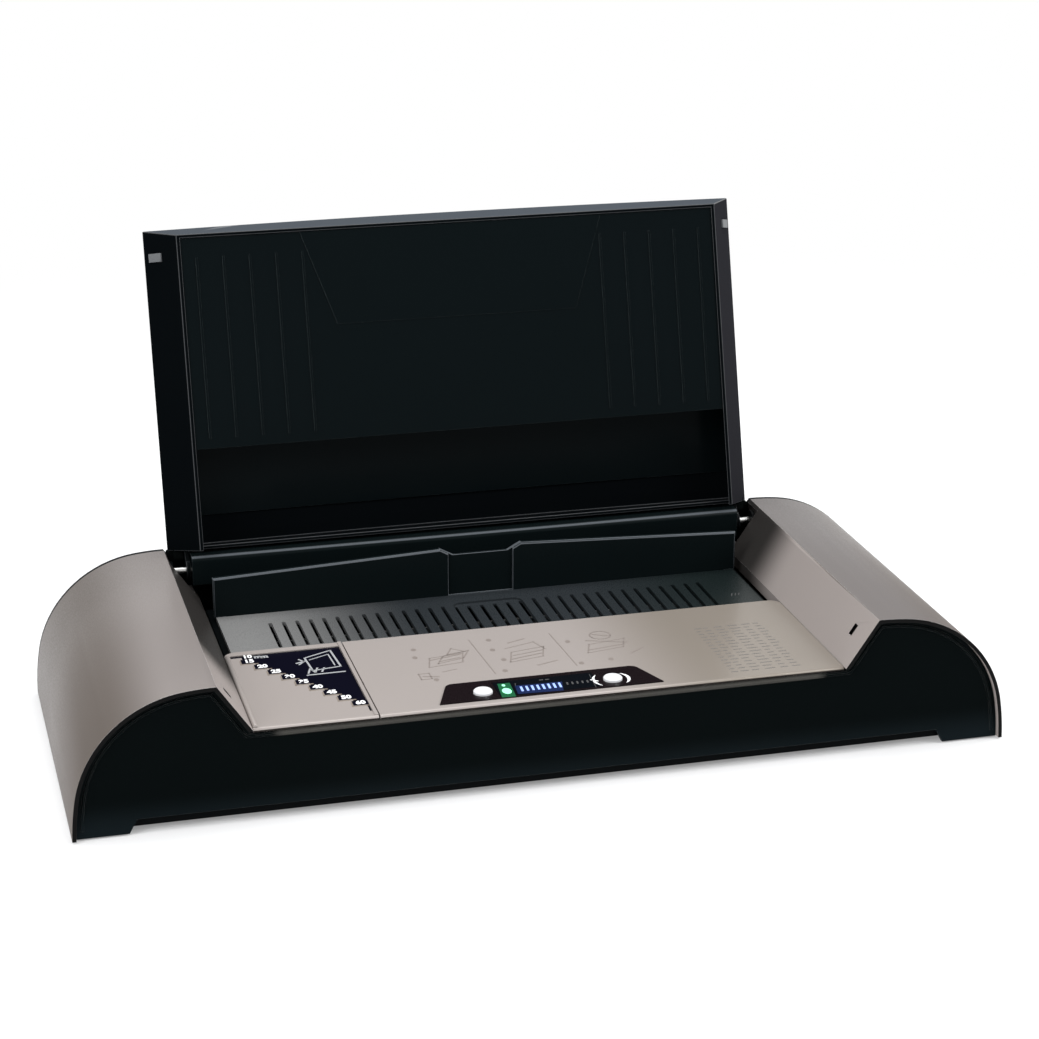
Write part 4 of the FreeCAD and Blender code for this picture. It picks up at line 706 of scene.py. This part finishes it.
SHELF_TOP = DECK_Z - 3.2


def page(x, y, width, depth, lean, line):
    """A small leaning sheet outline."""
    points = [(x, y), (x + width, y + lean), (x + width + lean, y + lean + depth), (x + lean, y + depth)]
    return stroke(points, line, True)


def table_rows():
    """Short dashes in columns, of lengths that vary in turn."""
    rows = []
    for row in range(TABLE_ROWS):
        y = TABLE_TOP - row * TABLE_PITCH
        for column, (start, length) in enumerate(TABLE_COLUMNS):
            cut = (row * 7 + column * 3) % 4 * TABLE_CUT
            rows += stroke([(start, y), (start + length - cut, y)], TABLE_LINE)
    return rows


def deck_prints():
    """The faint drawings and the table printed on the deck, and the marks on the shelf."""
    fields = drawn(DECK_LINES)
    for sheet in PAGES:
        fields += page(*sheet, PAGE_LINE)
    fields += ring(*DECK_RING, PAGE_LINE)
    fields += [ellipse(x, y, *DOT_HALF, DOT_POINTS) for x, y in DOTS]
    printed("deck_drawings", print_taupe, fields, DECK_Z)
    printed("deck_table", print_grey, table_rows(), DECK_Z, thick=TABLE_THICK)
    marks = []
    for x in SHELF_MARKS:
        marks += stroke([(x, 26.0), (x + 1.4, 29.6)], 0.6)
    printed("shelf_mark", print_dim, marks, SHELF_TOP, "carriage")


gauge_prints()
panel_prints()
deck_prints()


# Small covers at the hinge corners, which close the view through the gap under the open lid
CHAMFER = 0.4
FLAP = [(84.8, 80.2), (84.8, 78.2), (92.6, 78.2), (93.6, 79.2), (93.6, 80.2)]
FLAP_ENDS = (174.2, 180.2)
LIP = [(109.3, 79.4), (115.0, 79.4), (115.0, 81.6), (109.3, 81.6)]
LIP_ENDS = (171.4, 183.9)


def block(name, coat, place, corners, low, high, body):
    """A prism with softened edges: its outline across the hinge line, drawn out from one X to another."""
    bm = bmesh.new()
    first = [bm.verts.new(place(low, y, z)) for y, z in corners]
    last = [bm.verts.new(place(high, y, z)) for y, z in corners]
    bm.faces.new(first)
    bm.faces.new(last[::-1])
    for i in range(len(corners)):
        j = (i + 1) % len(corners)
        bm.faces.new((first[j], first[i], last[i], last[j]))
    bmesh.ops.recalc_face_normals(bm, faces=bm.faces)
    bmesh.ops.bevel(bm, geom=bm.edges[:], offset=CHAMFER * MM, segments=2, affect="EDGES")
    mesh = bpy.data.meshes.new(name)
    bm.to_mesh(mesh)
    bm.free()
    return place_print(name, coat, mesh, body)


def hinge_covers():
    """A flap on the lid's corner and a lip on the rear panel, on each side."""
    for name, side in (("left", -1), ("right", 1)):
        block("hinge_flap_" + name, hinge_black, closed, FLAP, *sorted(side * x for x in FLAP_ENDS), "lid")
        block("rear_lip_" + name, hinge_black, deck, LIP, *sorted(side * x for x in LIP_ENDS), "base")


hinge_covers()


# Camera, from the photo's measured view: its yaw, pitch down and roll, and its place in metres
VIEW_TURN = (14.70, 18.42, -0.27)
VIEW_PLACE = (-0.34967, -1.35616, 0.58959)
FOCAL_PIXELS = 2578.63
FRAME_PIXELS = 1039.0
SENSOR = 36.0
VIEW_FAR = 50.0


def make_camera():
    """The camera at the photo's place and angle."""
    yaw, pitch, roll = (math.radians(turn) for turn in VIEW_TURN)
    ahead = Vector((math.sin(yaw) * math.cos(pitch), math.cos(yaw) * math.cos(pitch), -math.sin(pitch)))
    side = Vector((math.cos(yaw), -math.sin(yaw), 0))
    up = side.cross(ahead)
    right = side * math.cos(roll) + up * math.sin(roll)
    top = up * math.cos(roll) - side * math.sin(roll)
    turn = Matrix((right, top, -ahead)).transposed().to_4x4()
    data = bpy.data.cameras.new("photo_view")
    data.sensor_width = SENSOR
    data.lens = SENSOR * FOCAL_PIXELS / FRAME_PIXELS
    data.dof.use_dof = False
    data.clip_end = VIEW_FAR
    camera = bpy.data.objects.new("photo_view", data)
    bpy.context.scene.collection.objects.link(camera)
    camera.matrix_world = Matrix.Translation(VIEW_PLACE) @ turn
    bpy.context.scene.camera = camera


make_camera()


# Studio: each light's name, place in metres, width, height and watts, and what all of them face
LAMPS = (
    ("left", (-1.8, -0.9, 1.5), 1.5, 1.3, 30.0),
    ("top", (0.1, 0.3, 2.2), 2.2, 1.6, 40.0),
    ("right", (1.9, -0.8, 1.4), 1.5, 1.3, 36.0),
)
LAMP_TARGET = (0, 0, 0.05)
FLOOR_HALF = 12.0
FLOOR_COLOURS = ((0.93, 0.93, 0.93), (0.95, 0.95, 0.95))
FLOOR_FADE = (0.35, 1.3)
FLOOR_WHITE = (0.25, 1.0)
SURROUND = (0.42, 0.43, 0.45)
WHITE = (1.0, 1.0, 1.0)


def softbox(name, place, width, height, power):
    """A large soft light that faces the object."""
    data = bpy.data.lights.new(name, "AREA")
    data.shape = "RECTANGLE"
    data.size = width
    data.size_y = height
    data.energy = power
    lamp = bpy.data.objects.new(name, data)
    bpy.context.scene.collection.objects.link(lamp)
    lamp.location = place
    lamp.rotation_euler = (Vector(LAMP_TARGET) - Vector(place)).to_track_quat("-Z", "Y").to_euler()


def seen_directly(tree):
    """One for what the camera, a reflection or a clear surface shows, and zero for what only lights."""
    path = tree.nodes.new("ShaderNodeLightPath")
    seen = path.outputs["Is Camera Ray"]
    for kind in ("Is Glossy Ray", "Is Transmission Ray"):
        larger = tree.nodes.new("ShaderNodeMath")
        larger.operation = "MAXIMUM"
        tree.links.new(seen, larger.inputs[0])
        tree.links.new(path.outputs[kind], larger.inputs[1])
        seen = larger.outputs["Value"]
    return seen


def make_floor():
    """A plain pale floor, which fades to plain white away from the object."""
    mesh = bpy.data.meshes.new("floor")
    half = FLOOR_HALF
    corners = [(-half, -half, 0), (half, -half, 0), (half, half, 0), (-half, half, 0)]
    mesh.from_pydata(corners, [], [(0, 1, 2, 3)])
    floor = bpy.data.objects.new("floor", mesh)
    bpy.context.scene.collection.objects.link(floor)
    made, tree, shader, coord = material("floor_white")
    tree.links.new(mixed(tree, noise(tree, coord.outputs["Object"], 2.0), *FLOOR_COLOURS),
                   shader.inputs["Base Color"])
    shader.inputs["Roughness"].default_value = 0.9
    shader.inputs["Specular IOR Level"].default_value = 0.1
    reach = tree.nodes.new("ShaderNodeVectorMath")
    reach.operation = "LENGTH"
    tree.links.new(coord.outputs["Object"], reach.inputs[0])
    share = tree.nodes.new("ShaderNodeMath")
    share.operation = "MULTIPLY"
    tree.links.new(ranged(tree, reach.outputs["Value"], *FLOOR_WHITE, FLOOR_FADE), share.inputs[0])
    tree.links.new(seen_directly(tree), share.inputs[1])
    white = tree.nodes.new("ShaderNodeEmission")
    joined = tree.nodes.new("ShaderNodeMixShader")
    tree.links.new(share.outputs["Value"], joined.inputs["Fac"])
    tree.links.new(shader.outputs["BSDF"], joined.inputs[1])
    tree.links.new(white.outputs["Emission"], joined.inputs[2])
    tree.links.new(joined.outputs["Shader"], tree.nodes["Material Output"].inputs["Surface"])
    mesh.materials.append(made)


def make_world():
    """A white background, and a softer surround for what only lights."""
    world = bpy.data.worlds.new("studio")
    bpy.context.scene.world = world
    world.use_nodes = True
    tree = world.node_tree
    back = tree.nodes["Background"]
    tree.links.new(mixed(tree, seen_directly(tree), SURROUND, WHITE), back.inputs["Color"])
    back.inputs["Strength"].default_value = 1.0


make_floor()
make_world()
for lamp_values in LAMPS:
    softbox(*lamp_values)
bpy.context.scene.view_settings.view_transform = "Standard"
